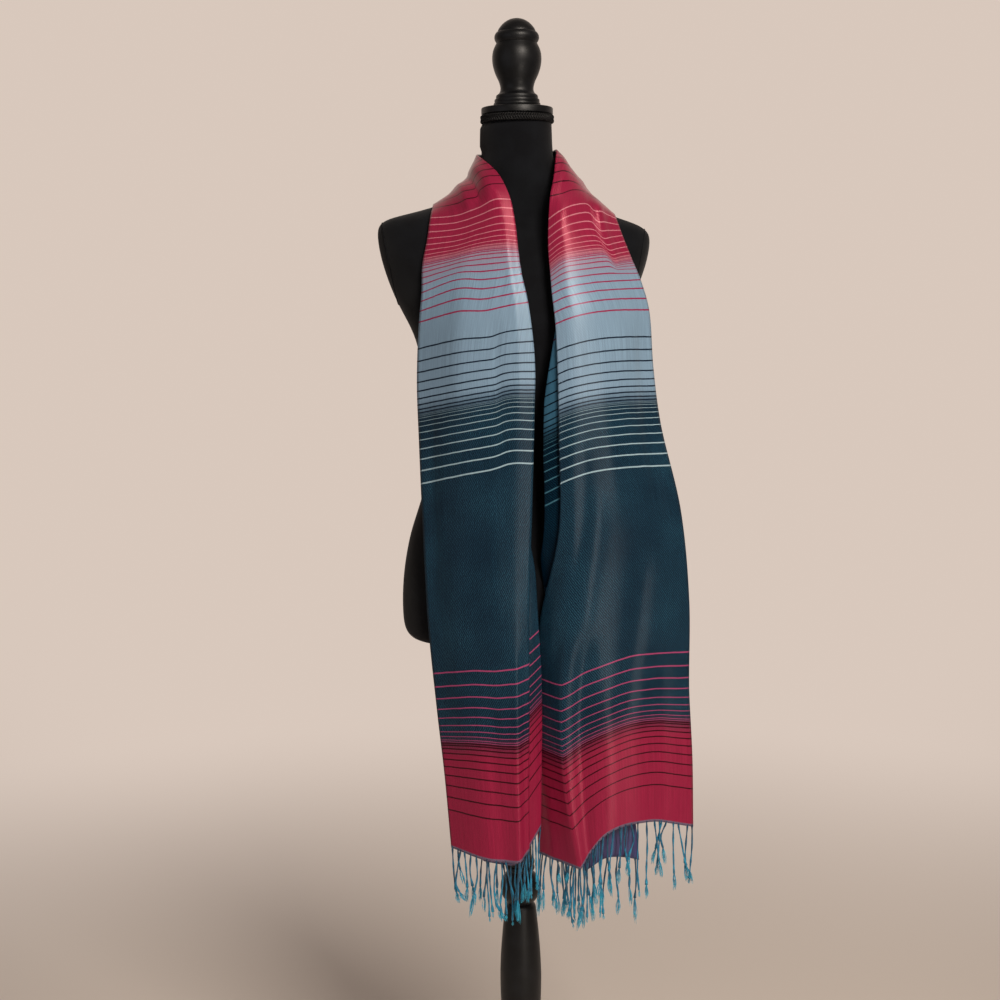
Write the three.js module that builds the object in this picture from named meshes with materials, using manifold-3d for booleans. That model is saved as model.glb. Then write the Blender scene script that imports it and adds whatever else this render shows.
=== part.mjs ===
// A long striped scarf, folded lengthwise and hung round the neck of a limbless dress form on its stand.
// Millimetres, +Z up. The origin is on the floor below the stand's pole, and the form's front looks along -Y.
import * as THREE from 'three';
import { mergeVertices } from 'three/addons/utils/BufferGeometryUtils.js';
import Module from 'manifold-3d';

const wasm = await Module();
wasm.setup();

// Driving dimensions of the cloth.
const clothWall = 1.5;
const pieceGap = 0.3;
const stretchGap = 0.03; // in scarf sections, between two stretches of the cloth
const ringsPerSection = 1.5;
const fringeLength = 92;
const strandSpacing = 10;
const strandRadius = 1.1;
const strandSides = 3;
const strandSteps = 3;
const strandSway = 2.5;
const strandPhase = 2.4; // radians between the sways of one strand and the next
const rootStripHeight = 4;
const rootDepth = pieceGap + 0.8 * rootStripHeight; // of the strands' tops, below the hem

// Driving dimensions of the form and the stand.
const torsoPointsRound = 32;
const torsoStep = 30;
const neckTop = 1504;
const neckRadius = 46.5;
const neckCentre = 1.5;
const shoulderLean = 0.034; // how much lower the +X shoulder hangs, by its distance from the axis
const shoulderHeight = 1355;
const leanReach = 120; // up and down from the shoulders
const tapeRadius = 49.2;
const tapeBottom = 1493.5;
const capRadius = 47.8;
const capTop = 1515.5;
const finialTop = 1630;
const ballHeight = 436.5;
const ballRadius = 27.9;
const ballSteps = 6;
const ballAngles = { lower: -55, upper: 53 }; // degrees from the ball's middle to the rings it meets
const shaftRadius = 16;
const blockRadius = 33;
const legThickness = 22;
const legRoot = { bottom: 100, top: 182 };
const foot = { inner: 204, outer: 236 };
const legTurns = [180, 60, -60]; // degrees about the pole, one leg towards -X
const weldDistance = 1e-3;

// Torso sections from the lower edge to the top of the neck. Front and back are the depths before and
// behind the pole's axis, and roundness is the exponent of the outline: 2 is an ellipse.
const torsoSections = [
  { height: 797, centre: 0, halfWidth: 140, front: 88, back: 95, roundness: 2.2 },
  { height: 800, centre: 0, halfWidth: 149, front: 95, back: 102, roundness: 2.2 },
  { height: 808, centre: 0, halfWidth: 157, front: 101, back: 109, roundness: 2.2 },
  { height: 823, centre: 0, halfWidth: 161, front: 104, back: 113, roundness: 2.2 },
  { height: 860, centre: 0, halfWidth: 161.5, front: 105, back: 115, roundness: 2.2 },
  { height: 900, centre: 0, halfWidth: 158, front: 103, back: 113, roundness: 2.2 },
  { height: 940, centre: 0, halfWidth: 150, front: 99, back: 107, roundness: 2.2 },
  { height: 985, centre: -1, halfWidth: 134, front: 92, back: 96, roundness: 2.1 },
  { height: 1030, centre: -2, halfWidth: 121, front: 87, back: 86, roundness: 2 },
  { height: 1075, centre: -2, halfWidth: 116, front: 87, back: 82, roundness: 2 },
  { height: 1120, centre: -2, halfWidth: 119, front: 95, back: 84, roundness: 2 },
  { height: 1165, centre: -3, halfWidth: 126, front: 107, back: 88, roundness: 2.1 },
  { height: 1209, centre: -3, halfWidth: 134, front: 114, back: 92, roundness: 2.1 },
  { height: 1238, centre: -3, halfWidth: 149, front: 113, back: 94, roundness: 2.2 },
  { height: 1265, centre: -4, halfWidth: 163, front: 106, back: 95, roundness: 2.2 },
  { height: 1302, centre: -4, halfWidth: 177, front: 91, back: 92, roundness: 2.2 },
  { height: 1328, centre: -4, halfWidth: 183, front: 78, back: 86, roundness: 2.2 },
  { height: 1346, centre: -4, halfWidth: 184.5, front: 67, back: 78, roundness: 2.2 },
  { height: 1356, centre: -4, halfWidth: 181, front: 61, back: 73, roundness: 2.2 },
  { height: 1364, centre: -4, halfWidth: 169, front: 57, back: 69, roundness: 2.1 },
  { height: 1371, centre: -3, halfWidth: 144, front: 54, back: 66, roundness: 2 },
  { height: 1379, centre: -2, halfWidth: 117, front: 53, back: 64, roundness: 2 },
  { height: 1389, centre: 0, halfWidth: 90, front: 53, back: 61, roundness: 2 },
  { height: 1402, centre: 1, halfWidth: 70, front: 53, back: 57, roundness: 2 },
  { height: 1420, centre: 1, halfWidth: 56, front: 51, back: 51, roundness: 2 },
  { height: 1442, centre: neckCentre, halfWidth: 48.5, front: 48, back: 47, roundness: 2 },
  { height: 1470, centre: neckCentre, halfWidth: neckRadius, front: neckRadius, back: neckRadius,
    roundness: 2 },
  { height: neckTop, centre: neckCentre, halfWidth: neckRadius, front: neckRadius, back: neckRadius,
    roundness: 2 },
];

// Scarf sections along the cloth, one weft line each. Edge, middle, crest and fold are points of the front
// layer from its outer selvedge to its inner fold. Second and fourth are the widths of the layers behind it,
// peek is how far the third layer's fold passes the front layer's, and spacing is from layer to layer. The
// slips say how much higher than the front layer the third layer's fold and the fourth layer's end hang.
const leftFallSections = [
  { edge: [-94, -92, 523], middle: [-44, -122, 517], crest: [-10, -128, 518], fold: [12, -121, 532],
    second: 75, peek: 28, fourth: 90, spacing: 5, thirdSlip: 17, fourthSlip: 22 },
  { edge: [-102, -92, 628], middle: [-46, -125, 629], crest: [-8, -129, 631], fold: [12, -122, 635],
    second: 78, peek: 22, fourth: 90, spacing: 4.8, thirdSlip: 17, fourthSlip: 22 },
  { edge: [-111, -92, 714], middle: [-50, -126, 726], crest: [-9, -130, 731], fold: [13, -124, 734],
    second: 80, peek: 16, fourth: 88, spacing: 4.6, thirdSlip: 16, fourthSlip: 20 },
  { edge: [-122, -90, 839], middle: [-54, -126, 852], crest: [-10, -131, 859], fold: [13, -126, 863],
    second: 80, peek: 3, fourth: 86, spacing: 4.2, thirdSlip: 10, fourthSlip: 14 },
  { edge: [-127, -88, 963], middle: [-55, -127, 979], crest: [-8, -133, 987], fold: [17, -129, 991],
    second: 80, peek: -8, fourth: 84, spacing: 4, thirdSlip: 4, fourthSlip: 6 },
  { edge: [-131, -80, 1082], middle: [-56, -128, 1097], crest: [-6, -137, 1103], fold: [20, -134, 1107],
    second: 80, peek: -8, fourth: 82, spacing: 3.8, thirdSlip: 0, fourthSlip: 0 },
  { edge: [-133, -72, 1159], middle: [-57, -127, 1171], crest: [-6, -137, 1179], fold: [21, -134, 1183],
    second: 78, peek: -8, fourth: 80, spacing: 3.4, thirdSlip: 0, fourthSlip: 0 },
  { edge: [-129, -79, 1233], middle: [-61, -122, 1246], crest: [-11, -133, 1252], fold: [13, -130, 1256],
    second: 75, peek: -8, fourth: 78, spacing: 3.2, thirdSlip: 0, fourthSlip: 0 },
  { edge: [-125, -81, 1274], middle: [-62, -113, 1285], crest: [-17, -124, 1290], fold: [5, -121, 1294],
    second: 70, peek: -9, fourth: 74, spacing: 3, thirdSlip: 0, fourthSlip: 0 },
  { edge: [-124, -74, 1304], middle: [-63, -102, 1315], crest: [-20, -113, 1320], fold: [1, -110, 1323],
    second: 65, peek: -10, fourth: 70, spacing: 2.9, thirdSlip: 0, fourthSlip: 0 },
  { edge: [-118, -64, 1335], middle: [-62, -88, 1344], crest: [-22, -101, 1350], fold: [-2, -99, 1354],
    second: 62, peek: -11, fourth: 66, spacing: 2.9, thirdSlip: 0, fourthSlip: 0 },
  { edge: [-114, -50, 1367], middle: [-62, -74, 1378], crest: [-27, -90, 1384], fold: [-8, -88, 1389],
    second: 58, peek: -12, fourth: 62, spacing: 2.9, thirdSlip: 0, fourthSlip: 0 },
];
const neckSections = [
  { edge: [-111, -16, 1388], middle: [-66, -55, 1401], crest: [-32, -79, 1407], fold: [-16, -77, 1409],
    second: 56, peek: -13, fourth: 60, spacing: 2.7, thirdSlip: 0, fourthSlip: 0 },
  { edge: [-110, 12, 1388], middle: [-71, -29, 1413], crest: [-41, -60, 1423], fold: [-26, -63, 1426],
    second: 56, peek: -14, fourth: 60, spacing: 2.7, thirdSlip: 0, fourthSlip: 0 },
  { edge: [-105, 38, 1383], middle: [-76, 2, 1413], crest: [-54, -30, 1437], fold: [-43, -36, 1443],
    second: 56, peek: -14, fourth: 60, spacing: 2.7, thirdSlip: 0, fourthSlip: 0 },
  { edge: [-94, 64, 1371], middle: [-69, 33, 1413], crest: [-58, 8, 1442], fold: [-53, 0, 1453],
    second: 56, peek: -14, fourth: 60, spacing: 2.7, thirdSlip: 0, fourthSlip: 0 },
  { edge: [-70, 83, 1358], middle: [-55, 58, 1414], crest: [-49, 39, 1443], fold: [-46, 31, 1456],
    second: 56, peek: -14, fourth: 60, spacing: 2.7, thirdSlip: 0, fourthSlip: 0 },
  { edge: [-36, 95, 1351], middle: [-29, 74, 1410], crest: [-27, 57, 1443], fold: [-26, 48, 1457],
    second: 56, peek: -14, fourth: 60, spacing: 2.7, thirdSlip: 0, fourthSlip: 0 },
  { edge: [0, 99, 1349], middle: [0, 79, 1409], crest: [0, 63, 1443], fold: [1, 54, 1458],
    second: 56, peek: -14, fourth: 60, spacing: 2.7, thirdSlip: 0, fourthSlip: 0 },
  { edge: [38, 96, 1351], middle: [30, 74, 1410], crest: [28, 57, 1444], fold: [27, 48, 1458],
    second: 56, peek: -14, fourth: 60, spacing: 2.7, thirdSlip: 0, fourthSlip: 0 },
  { edge: [74, 85, 1356], middle: [57, 58, 1415], crest: [50, 39, 1446], fold: [47, 31, 1459],
    second: 56, peek: -14, fourth: 60, spacing: 2.7, thirdSlip: 0, fourthSlip: 0 },
  { edge: [104, 63, 1364], middle: [73, 32, 1414], crest: [62, 6, 1450], fold: [54, -2, 1459],
    second: 56, peek: -14, fourth: 60, spacing: 2.7, thirdSlip: 0, fourthSlip: 0 },
  { edge: [123, 40, 1370], middle: [82, 2, 1419], crest: [63, -25, 1444], fold: [52, -33, 1445],
    second: 56, peek: -14, fourth: 60, spacing: 2.7, thirdSlip: 0, fourthSlip: 0 },
  { edge: [130, 14, 1374], middle: [83, -28, 1413], crest: [61, -55, 1421], fold: [48, -59, 1419],
    second: 56, peek: -14, fourth: 60, spacing: 2.7, thirdSlip: 0, fourthSlip: 0 },
  { edge: [129, -14, 1374], middle: [83, -50, 1404], crest: [57, -74, 1396], fold: [43, -78, 1393],
    second: 56, peek: -13, fourth: 60, spacing: 2.7, thirdSlip: 0, fourthSlip: 0 },
];
const rightFallSections = [
  { edge: [130, -42, 1362], middle: [85, -71, 1380], crest: [56, -90, 1371], fold: [40, -89, 1367],
    second: 58, peek: -12, fourth: 62, spacing: 2.9, thirdSlip: 0, fourthSlip: 0 },
  { edge: [139, -56, 1340], middle: [89, -87, 1341], crest: [55, -102, 1336], fold: [39, -100, 1334],
    second: 60, peek: -11, fourth: 66, spacing: 2.9, thirdSlip: 0, fourthSlip: 0 },
  { edge: [152, -64, 1308], middle: [96, -100, 1310], crest: [57, -114, 1305], fold: [41, -112, 1303],
    second: 62, peek: -10, fourth: 70, spacing: 2.9, thirdSlip: 0, fourthSlip: 0 },
  { edge: [161, -68, 1282], middle: [101, -111, 1281], crest: [60, -125, 1275], fold: [43, -122, 1272],
    second: 62, peek: -8, fourth: 74, spacing: 3, thirdSlip: 0, fourthSlip: 0 },
  { edge: [172, -70, 1246], middle: [109, -121, 1243], crest: [64, -134, 1236], fold: [47, -130, 1234],
    second: 62, peek: 6, fourth: 78, spacing: 3.2, thirdSlip: 0, fourthSlip: 0 },
  { edge: [178, -72, 1166], middle: [112, -127, 1168], crest: [68, -138, 1162], fold: [50, -134, 1160],
    second: 62, peek: 22, fourth: 85, spacing: 3.4, thirdSlip: 0, fourthSlip: 0 },
  { edge: [187, -80, 1097], middle: [117, -129, 1098], crest: [69, -138, 1088], fold: [51, -134, 1085],
    second: 62, peek: 24, fourth: 92, spacing: 3.8, thirdSlip: 0, fourthSlip: -5 },
  { edge: [213, -90, 984], middle: [131, -128, 987], crest: [72, -136, 975], fold: [51, -132, 972],
    second: 62, peek: 24, fourth: 102, spacing: 4, thirdSlip: 0, fourthSlip: -12 },
  { edge: [225, -92, 864], middle: [134, -126, 866], crest: [52, -133, 843], fold: [36, -121, 850],
    second: 62, peek: -4, fourth: 120, spacing: 4.2, thirdSlip: 0, fourthSlip: -22 },
  { edge: [226, -92, 739], middle: [136, -124, 744], crest: [50, -131, 725], fold: [30, -98, 738],
    second: 62, peek: -22, fourth: 138, spacing: 4.6, thirdSlip: 0, fourthSlip: -34 },
  { edge: [231, -90, 645], middle: [146, -124, 656], crest: [61, -131, 626], fold: [30, -90, 640],
    second: 62, peek: -28, fourth: 150, spacing: 4.8, thirdSlip: 0, fourthSlip: -44 },
  { edge: [233, -88, 551], middle: [140, -122, 562], crest: [79, -131, 518], fold: [30, -87, 522],
    second: 62, peek: -30, fourth: 169, spacing: 5, thirdSlip: 0, fourthSlip: -56 },
];
const scarfSections = [...leftFallSections, ...neckSections, ...rightFallSections];
const lastSection = scarfSections.length - 1;
const neckStart = leftFallSections.length - 0.5;
const neckEnd = leftFallSections.length + neckSections.length - 0.5;

// Turns a closed mesh's faces outward.
function facingOut(geometry) {
  const p = geometry.attributes.position;
  const index = geometry.index.array;
  const corner = [new THREE.Vector3(), new THREE.Vector3(), new THREE.Vector3()];
  let volume = 0;
  for (let i = 0; i < index.length; i += 3) {
    corner.forEach((c, k) => c.fromBufferAttribute(p, index[i + k]));
    volume += corner[0].dot(corner[1].clone().cross(corner[2]));
  }
  if (volume < 0) {
    for (let i = 0; i < index.length; i += 3) {
      [index[i], index[i + 1]] = [index[i + 1], index[i]];
    }
  }
  return geometry;
}

// The flat faces that close a ring: a fan for a round one, and crosswise pairs for a walled strip.
function fanFaces(size) {
  return Array.from({ length: size - 2 }, (_, i) => [0, i + 1, i + 2]);
}

function stripFaces(size) {
  const faces = [];
  for (let i = 0; i < size / 2 - 1; i += 1) {
    const across = size - 1 - i;
    faces.push([i, i + 1, across - 1], [i, across - 1, across]);
  }
  return faces;
}

// Joins rings of points, each as long as the next, and closes the first and the last ring.
function loftRings(rings, endFaces) {
  const size = rings[0].length;
  const index = [];
  for (let r = 0; r < rings.length - 1; r += 1) {
    for (let i = 0; i < size; i += 1) {
      const a = r * size + i;
      const b = r * size + ((i + 1) % size);
      index.push(a, b, b + size, a, b + size, a + size);
    }
  }
  const last = (rings.length - 1) * size;
  for (const [a, b, c] of endFaces) {
    index.push(a, c, b, last + a, last + b, last + c);
  }
  const geometry = new THREE.BufferGeometry();
  const values = rings.flat().flatMap((point) => [point.x, point.y, point.z]);
  geometry.setAttribute('position', new THREE.Float32BufferAttribute(values, 3));
  geometry.setIndex(index);
  return facingOut(geometry);
}

// A smooth value of one column of a table at a section number that need not be whole.
function columnAt(sections, name, at) {
  const curve = new THREE.SplineCurve(sections.map((s, i) => new THREE.Vector2(i, s[name])));
  return curve.getPoint(THREE.MathUtils.clamp(at / (sections.length - 1), 0, 1)).y;
}

// The dress form's torso.
function torsoRing(at) {
  const column = (name) => columnAt(torsoSections, name, at);
  const power = 2 / column('roundness');
  const height = column('height');
  const lean = shoulderLean * Math.max(0, 1 - Math.abs(height - shoulderHeight) / leanReach);
  const points = [];
  for (let i = 0; i < torsoPointsRound; i += 1) {
    const angle = (2 * Math.PI * i) / torsoPointsRound;
    const across = Math.sign(Math.cos(angle)) * Math.abs(Math.cos(angle)) ** power;
    const deep = Math.sign(Math.sin(angle)) * Math.abs(Math.sin(angle)) ** power;
    const depth = deep > 0 ? column('back') : column('front');
    const x = column('centre') + across * column('halfWidth');
    points.push(new THREE.Vector3(x, deep * depth, height - lean * x));
  }
  return points;
}

function torsoGeometry() {
  const rings = [];
  for (let s = 0; s < torsoSections.length - 1; s += 1) {
    const span = torsoSections[s + 1].height - torsoSections[s].height;
    const steps = Math.max(1, Math.round(span / torsoStep));
    for (let k = 0; k < steps; k += 1) {
      rings.push(torsoRing(s + k / steps));
    }
  }
  rings.push(torsoRing(torsoSections.length - 1));
  return loftRings(rings, fanFaces(torsoPointsRound));
}

// The scarf. The front layer is a smooth surface through the sections: columns of points that run along the
// cloth, sharing each section's front curve out evenly.
const acrossPoints = 13;
const sectionCurves = scarfSections.map(({ edge, middle, crest, fold }) => {
  const points = [fold, crest, middle, edge].map((p) => new THREE.Vector3(...p));
  return new THREE.CatmullRomCurve3(points, false, 'centripetal').getSpacedPoints(acrossPoints - 1);
});
const alongCurves = Array.from({ length: acrossPoints }, (_, i) => (
  new THREE.CatmullRomCurve3(sectionCurves.map((points) => points[i]), false, 'centripetal')
));

// The front curve at a section number, from the inner fold to the outer edge.
function frontCurve(at) {
  const t = THREE.MathUtils.clamp(at / lastSection, 0, 1);
  return new THREE.CatmullRomCurve3(alongCurves.map((curve) => curve.getPoint(t)), false, 'centripetal');
}

// Maps a place in the folded strip's own plane, from the fold and behind the front layer, into space.
function sectionFrame(at) {
  const here = frontCurve(at);
  const step = 0.02;
  const before = frontCurve(Math.max(at - step, 0));
  const after = frontCurve(Math.min(at + step, lastSection));
  const length = here.getLength();
  return (fromFold, behind, raised) => {
    const u = THREE.MathUtils.clamp(fromFold / length, 0, 1);
    const across = here.getTangentAt(u);
    const along = after.getPointAt(u).sub(before.getPointAt(u)).normalize();
    const inward = across.clone().cross(along).normalize();
    const point = here.getPointAt(u);
    point.addScaledVector(across, fromFold - u * length);
    point.addScaledVector(inward, behind);
    point.addScaledVector(along, at < lastSection / 2 ? raised : -raised);
    return point;
  };
}

// Points of the folded strip's middle line: segments of each layer's run, and the places of its folds.
const frontSegments = 7;
const hiddenSegments = 3;
const backSegments = 4;
const firstFold = frontSegments + 1;
const thirdFold = firstFold + 2 * (hiddenSegments + 2);

// The middle line of the folded strip, from the front layer's edge to the hidden end of the fourth layer.
function stripLine(at) {
  const column = (name) => columnAt(scarfSections, name, at);
  const spacing = column('spacing');
  const second = column('second');
  const tuck = -column('peek');
  const width = frontCurve(at).getLength();
  const bend = spacing / 2;
  const line = [];
  const run = (from, to, behind, segments) => {
    for (let k = 0; k <= segments; k += 1) {
      line.push(new THREE.Vector2(from + ((to - from) * k) / segments, behind));
    }
  };
  run(width, bend, 0, frontSegments);
  line.push(new THREE.Vector2(0, bend));
  run(bend, second - bend, spacing, hiddenSegments);
  line.push(new THREE.Vector2(second, 3 * bend));
  run(second - bend, tuck + bend, 2 * spacing, hiddenSegments);
  line.push(new THREE.Vector2(tuck, 5 * bend));
  run(tuck + bend, column('fourth'), 3 * spacing, backSegments);
  return line;
}

// Gives a line in the strip's plane its wall: the closed outline at half the wall on each side.
function walledOutline(line) {
  const half = clothWall / 2;
  const sides = [[], []];
  line.forEach((point, i) => {
    const before = line[Math.max(i - 1, 0)];
    const after = line[Math.min(i + 1, line.length - 1)];
    const normal = new THREE.Vector2(before.y - after.y, after.x - before.x).normalize();
    sides[0].push(point.clone().addScaledVector(normal, half));
    sides[1].push(point.clone().addScaledVector(normal, -half));
  });
  return [...sides[0], ...sides[1].reverse()];
}

// How much each point of the strip is raised along the cloth: nothing up to the first fold, then evenly more
// to the third layer's fold and on to the fourth layer's end.
function raisedAlong(line, at) {
  const last = line.length - 1;
  const turns = [firstFold, thirdFold, last];
  const raises = [0, columnAt(scarfSections, 'thirdSlip', at), columnAt(scarfSections, 'fourthSlip', at)];
  return line.map((_, i) => {
    if (i <= firstFold) {
      return 0;
    }
    const k = i <= thirdFold ? 0 : 1;
    return THREE.MathUtils.mapLinear(i, turns[k], turns[k + 1], raises[k], raises[k + 1]);
  });
}

function stripRing(at, lowered = 0) {
  const line = stripLine(at);
  const raised = raisedAlong(line, at);
  const both = [...raised, ...[...raised].reverse()];
  const place = sectionFrame(at);
  return walledOutline(line).map((p, i) => place(p.x, p.y, both[i] - lowered));
}

function stretchGeometry(from, to) {
  const steps = Math.round((to - from) * ringsPerSection);
  const rings = [];
  for (let k = 0; k <= steps; k += 1) {
    rings.push(stripRing(from + ((to - from) * k) / steps));
  }
  return loftRings(rings, stripFaces(rings[0].length));
}

// Manifold solids, for the fringe's joined strands.
function asSolid(geometry) {
  geometry.deleteAttribute('normal');
  geometry.deleteAttribute('uv');
  const merged = mergeVertices(geometry, weldDistance);
  return new wasm.Manifold(new wasm.Mesh({
    numProp: 3,
    vertProperties: new Float32Array(merged.attributes.position.array),
    triVerts: new Uint32Array(merged.index.array),
  }));
}

function fromSolid(solid) {
  const mesh = solid.getMesh();
  const geometry = new THREE.BufferGeometry();
  geometry.setAttribute('position', new THREE.Float32BufferAttribute(mesh.vertProperties, 3));
  geometry.setIndex(Array.from(mesh.triVerts));
  return geometry;
}

// One strand of the fringe: a thin prism that hangs from the strip and sways a little to the side.
function strandGeometry(root, sideways, number) {
  const sway = strandSway * Math.sin(number * strandPhase);
  const outline = [];
  for (let i = 0; i < strandSides; i += 1) {
    const angle = (2 * Math.PI * i) / strandSides;
    outline.push(new THREE.Vector2(strandRadius * Math.cos(angle), strandRadius * Math.sin(angle)));
  }
  const rings = [];
  for (let k = 0; k <= strandSteps; k += 1) {
    const down = k / strandSteps;
    const centre = root.clone();
    centre.addScaledVector(sideways, sway * Math.sin(1.5 * Math.PI * down) * down);
    centre.z -= fringeLength * down;
    rings.push(outline.map((p) => new THREE.Vector3(centre.x + p.x, centre.y + p.y, centre.z)));
  }
  return loftRings(rings, fanFaces(strandSides));
}

// The fringe of one end: a narrow strip just below the hem, and strands along all of the cloth's layers.
function fringeGeometry(at) {
  const line = stripLine(at);
  const top = stripRing(at, pieceGap);
  const bottom = stripRing(at, pieceGap + rootStripHeight);
  let solid = asSolid(loftRings([top, bottom], stripFaces(top.length)));
  const raised = raisedAlong(line, at);
  const place = sectionFrame(at);
  const roots = line.map((p, i) => place(p.x, p.y, raised[i] - rootDepth));
  let carried = strandSpacing / 2;
  let number = 0;
  for (let i = 0; i < roots.length - 1; i += 1) {
    const span = roots[i].distanceTo(roots[i + 1]);
    const sideways = roots[i + 1].clone().sub(roots[i]).setZ(0).normalize();
    while (carried < span) {
      const root = roots[i].clone().lerp(roots[i + 1], carried / span);
      solid = solid.add(asSolid(strandGeometry(root, sideways, number)));
      carried += strandSpacing;
      number += 1;
    }
    carried -= span;
  }
  return fromSolid(solid);
}

// Turned pieces. Each profile lists radius and height from the bottom up.
function turned(profile, segments) {
  const lathe = new THREE.LatheGeometry(profile.map(([r, z]) => new THREE.Vector2(r, z)), segments);
  lathe.rotateX(Math.PI / 2);
  lathe.deleteAttribute('normal');
  lathe.deleteAttribute('uv');
  return facingOut(mergeVertices(lathe, weldDistance));
}

const tapeHeight = neckTop - pieceGap - tapeBottom;
const tapeInner = neckRadius + 2 * pieceGap;
const tapeProfile = [
  [tapeInner, tapeBottom],
  [tapeRadius - 0.8, tapeBottom],
  [tapeRadius, tapeBottom + 0.25 * tapeHeight],
  [tapeRadius, tapeBottom + 0.75 * tapeHeight],
  [tapeRadius - 0.8, tapeBottom + tapeHeight],
  [tapeInner, tapeBottom + tapeHeight],
  [tapeInner, tapeBottom],
];

const capBottom = neckTop + pieceGap;
const capProfile = [
  [0, capBottom],
  [capRadius - 1, capBottom],
  [capRadius, capBottom + 1],
  [capRadius, capTop - 3.5],
  [capRadius - 1.5, capTop - 2],
  [33, capTop],
  [0, capTop],
];

const finialBottom = capTop + pieceGap;
const finialProfile = [
  [0, finialBottom],
  [31, finialBottom],
  [31, 1519.5],
  [29.6, 1521],
  [29.6, 1524.5],
  [27.6, 1526],
  [27.4, 1530],
  [23, 1533.5],
  [22, 1539],
  [24.4, 1549],
  [29.6, 1560],
  [32.4, 1570],
  [32.8, 1579],
  [31, 1589],
  [26.9, 1598],
  [29.2, 1602],
  [29.4, 1607],
  [27, 1611.5],
  [24.6, 1613.5],
  [22.5, 1618],
  [17, 1624],
  [9, 1628.5],
  [0, finialTop],
];

// The ball is an arc between the column's top and the rings over it.
const ballProfile = [];
for (let k = 0; k <= ballSteps; k += 1) {
  const degrees = THREE.MathUtils.lerp(ballAngles.lower, ballAngles.upper, k / ballSteps);
  const angle = THREE.MathUtils.degToRad(degrees);
  ballProfile.push([ballRadius * Math.cos(angle), ballHeight + ballRadius * Math.sin(angle)]);
}
const torsoBottom = torsoSections[0].height;
const poleProfile = [
  [0, 70],
  [20, 72],
  [30, 79],
  [blockRadius, 88],
  [blockRadius, 190],
  [30, 193],
  [31, 198],
  [30, 204],
  [23, 208],
  [23, 214],
  [26.5, 240],
  [28.6, 272],
  [29.2, 305],
  [28.4, 332],
  [26.7, 358],
  [23.5, 392],
  [21.7, 409],
  [18, 412],
  ...ballProfile,
  [17.5, 461],
  [20.2, 463],
  [20.2, 467],
  [17.5, 469],
  [20.2, 471],
  [20.2, 476],
  [shaftRadius, 479],
  [shaftRadius, torsoBottom - 14],
  [42, torsoBottom - 10],
  [42, torsoBottom - pieceGap],
  [0, torsoBottom - pieceGap],
];

// A curved leg, cut from a board and standing on a flat foot.
function legGeometry() {
  const inner = blockRadius + pieceGap;
  const shape = new THREE.Shape();
  shape.moveTo(inner, legRoot.bottom);
  shape.lineTo(inner, legRoot.top);
  shape.bezierCurveTo(70, 196, 112, 178, 140, 122);
  shape.bezierCurveTo(164, 74, 186, 34, 232, 22);
  shape.quadraticCurveTo(240, 12, foot.outer, 0);
  shape.lineTo(foot.inner, 0);
  shape.bezierCurveTo(172, 6, 144, 46, 120, 92);
  shape.bezierCurveTo(96, 136, 66, 134, inner, legRoot.bottom);
  const board = new THREE.ExtrudeGeometry(shape, {
    depth: legThickness,
    bevelEnabled: false,
    curveSegments: 8,
  });
  board.translate(0, 0, -legThickness / 2);
  board.rotateX(Math.PI / 2);
  board.deleteAttribute('normal');
  board.deleteAttribute('uv');
  return mergeVertices(board, weldDistance);
}

function material(color, roughness) {
  return new THREE.MeshStandardMaterial({ color, roughness, metalness: 0 });
}

const scarfOnForm = new THREE.Group();

function addPiece(name, geometry, surface) {
  const mesh = new THREE.Mesh(geometry, surface);
  mesh.name = name;
  scarfOnForm.add(mesh);
  return mesh;
}

const neckFirst = neckStart + stretchGap;
const neckLast = neckEnd - stretchGap;
addPiece('scarf_fall_left', stretchGeometry(0, neckStart), material('#7f3140', 0.55));
addPiece('scarf_neck', stretchGeometry(neckFirst, neckLast), material('#b0283f', 0.55));
addPiece('scarf_fall_right', stretchGeometry(neckEnd, lastSection), material('#27465a', 0.55));
addPiece('fringe_left', fringeGeometry(0), material('#1f8ca0', 0.7));
addPiece('fringe_right', fringeGeometry(lastSection), material('#2a7fa0', 0.7));
addPiece('form_torso', torsoGeometry(), material('#15161a', 0.95));
addPiece('neck_tape', turned(tapeProfile, 28), material('#101114', 0.85)).position.x = neckCentre;
addPiece('neck_cap', turned(capProfile, 28), material('#1a1a1b', 0.4)).position.x = neckCentre;
addPiece('finial', turned(finialProfile, 18), material('#1a1a1b', 0.4)).position.x = neckCentre;
addPiece('pole', turned(poleProfile, 18), material('#1a1a1b', 0.4));
legTurns.forEach((degrees, i) => {
  const leg = addPiece(`leg_${i + 1}`, legGeometry(), material('#1a1a1b', 0.4));
  leg.rotation.z = THREE.MathUtils.degToRad(degrees);
});

export default scarfOnForm;
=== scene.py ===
# A striped scarf, folded lengthwise and hung round the neck of a black dress form on its turned stand.
# Metres in the scene. The tables are in millimetres and become metres where they are used.
import functools
import itertools
import math
import random

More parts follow.
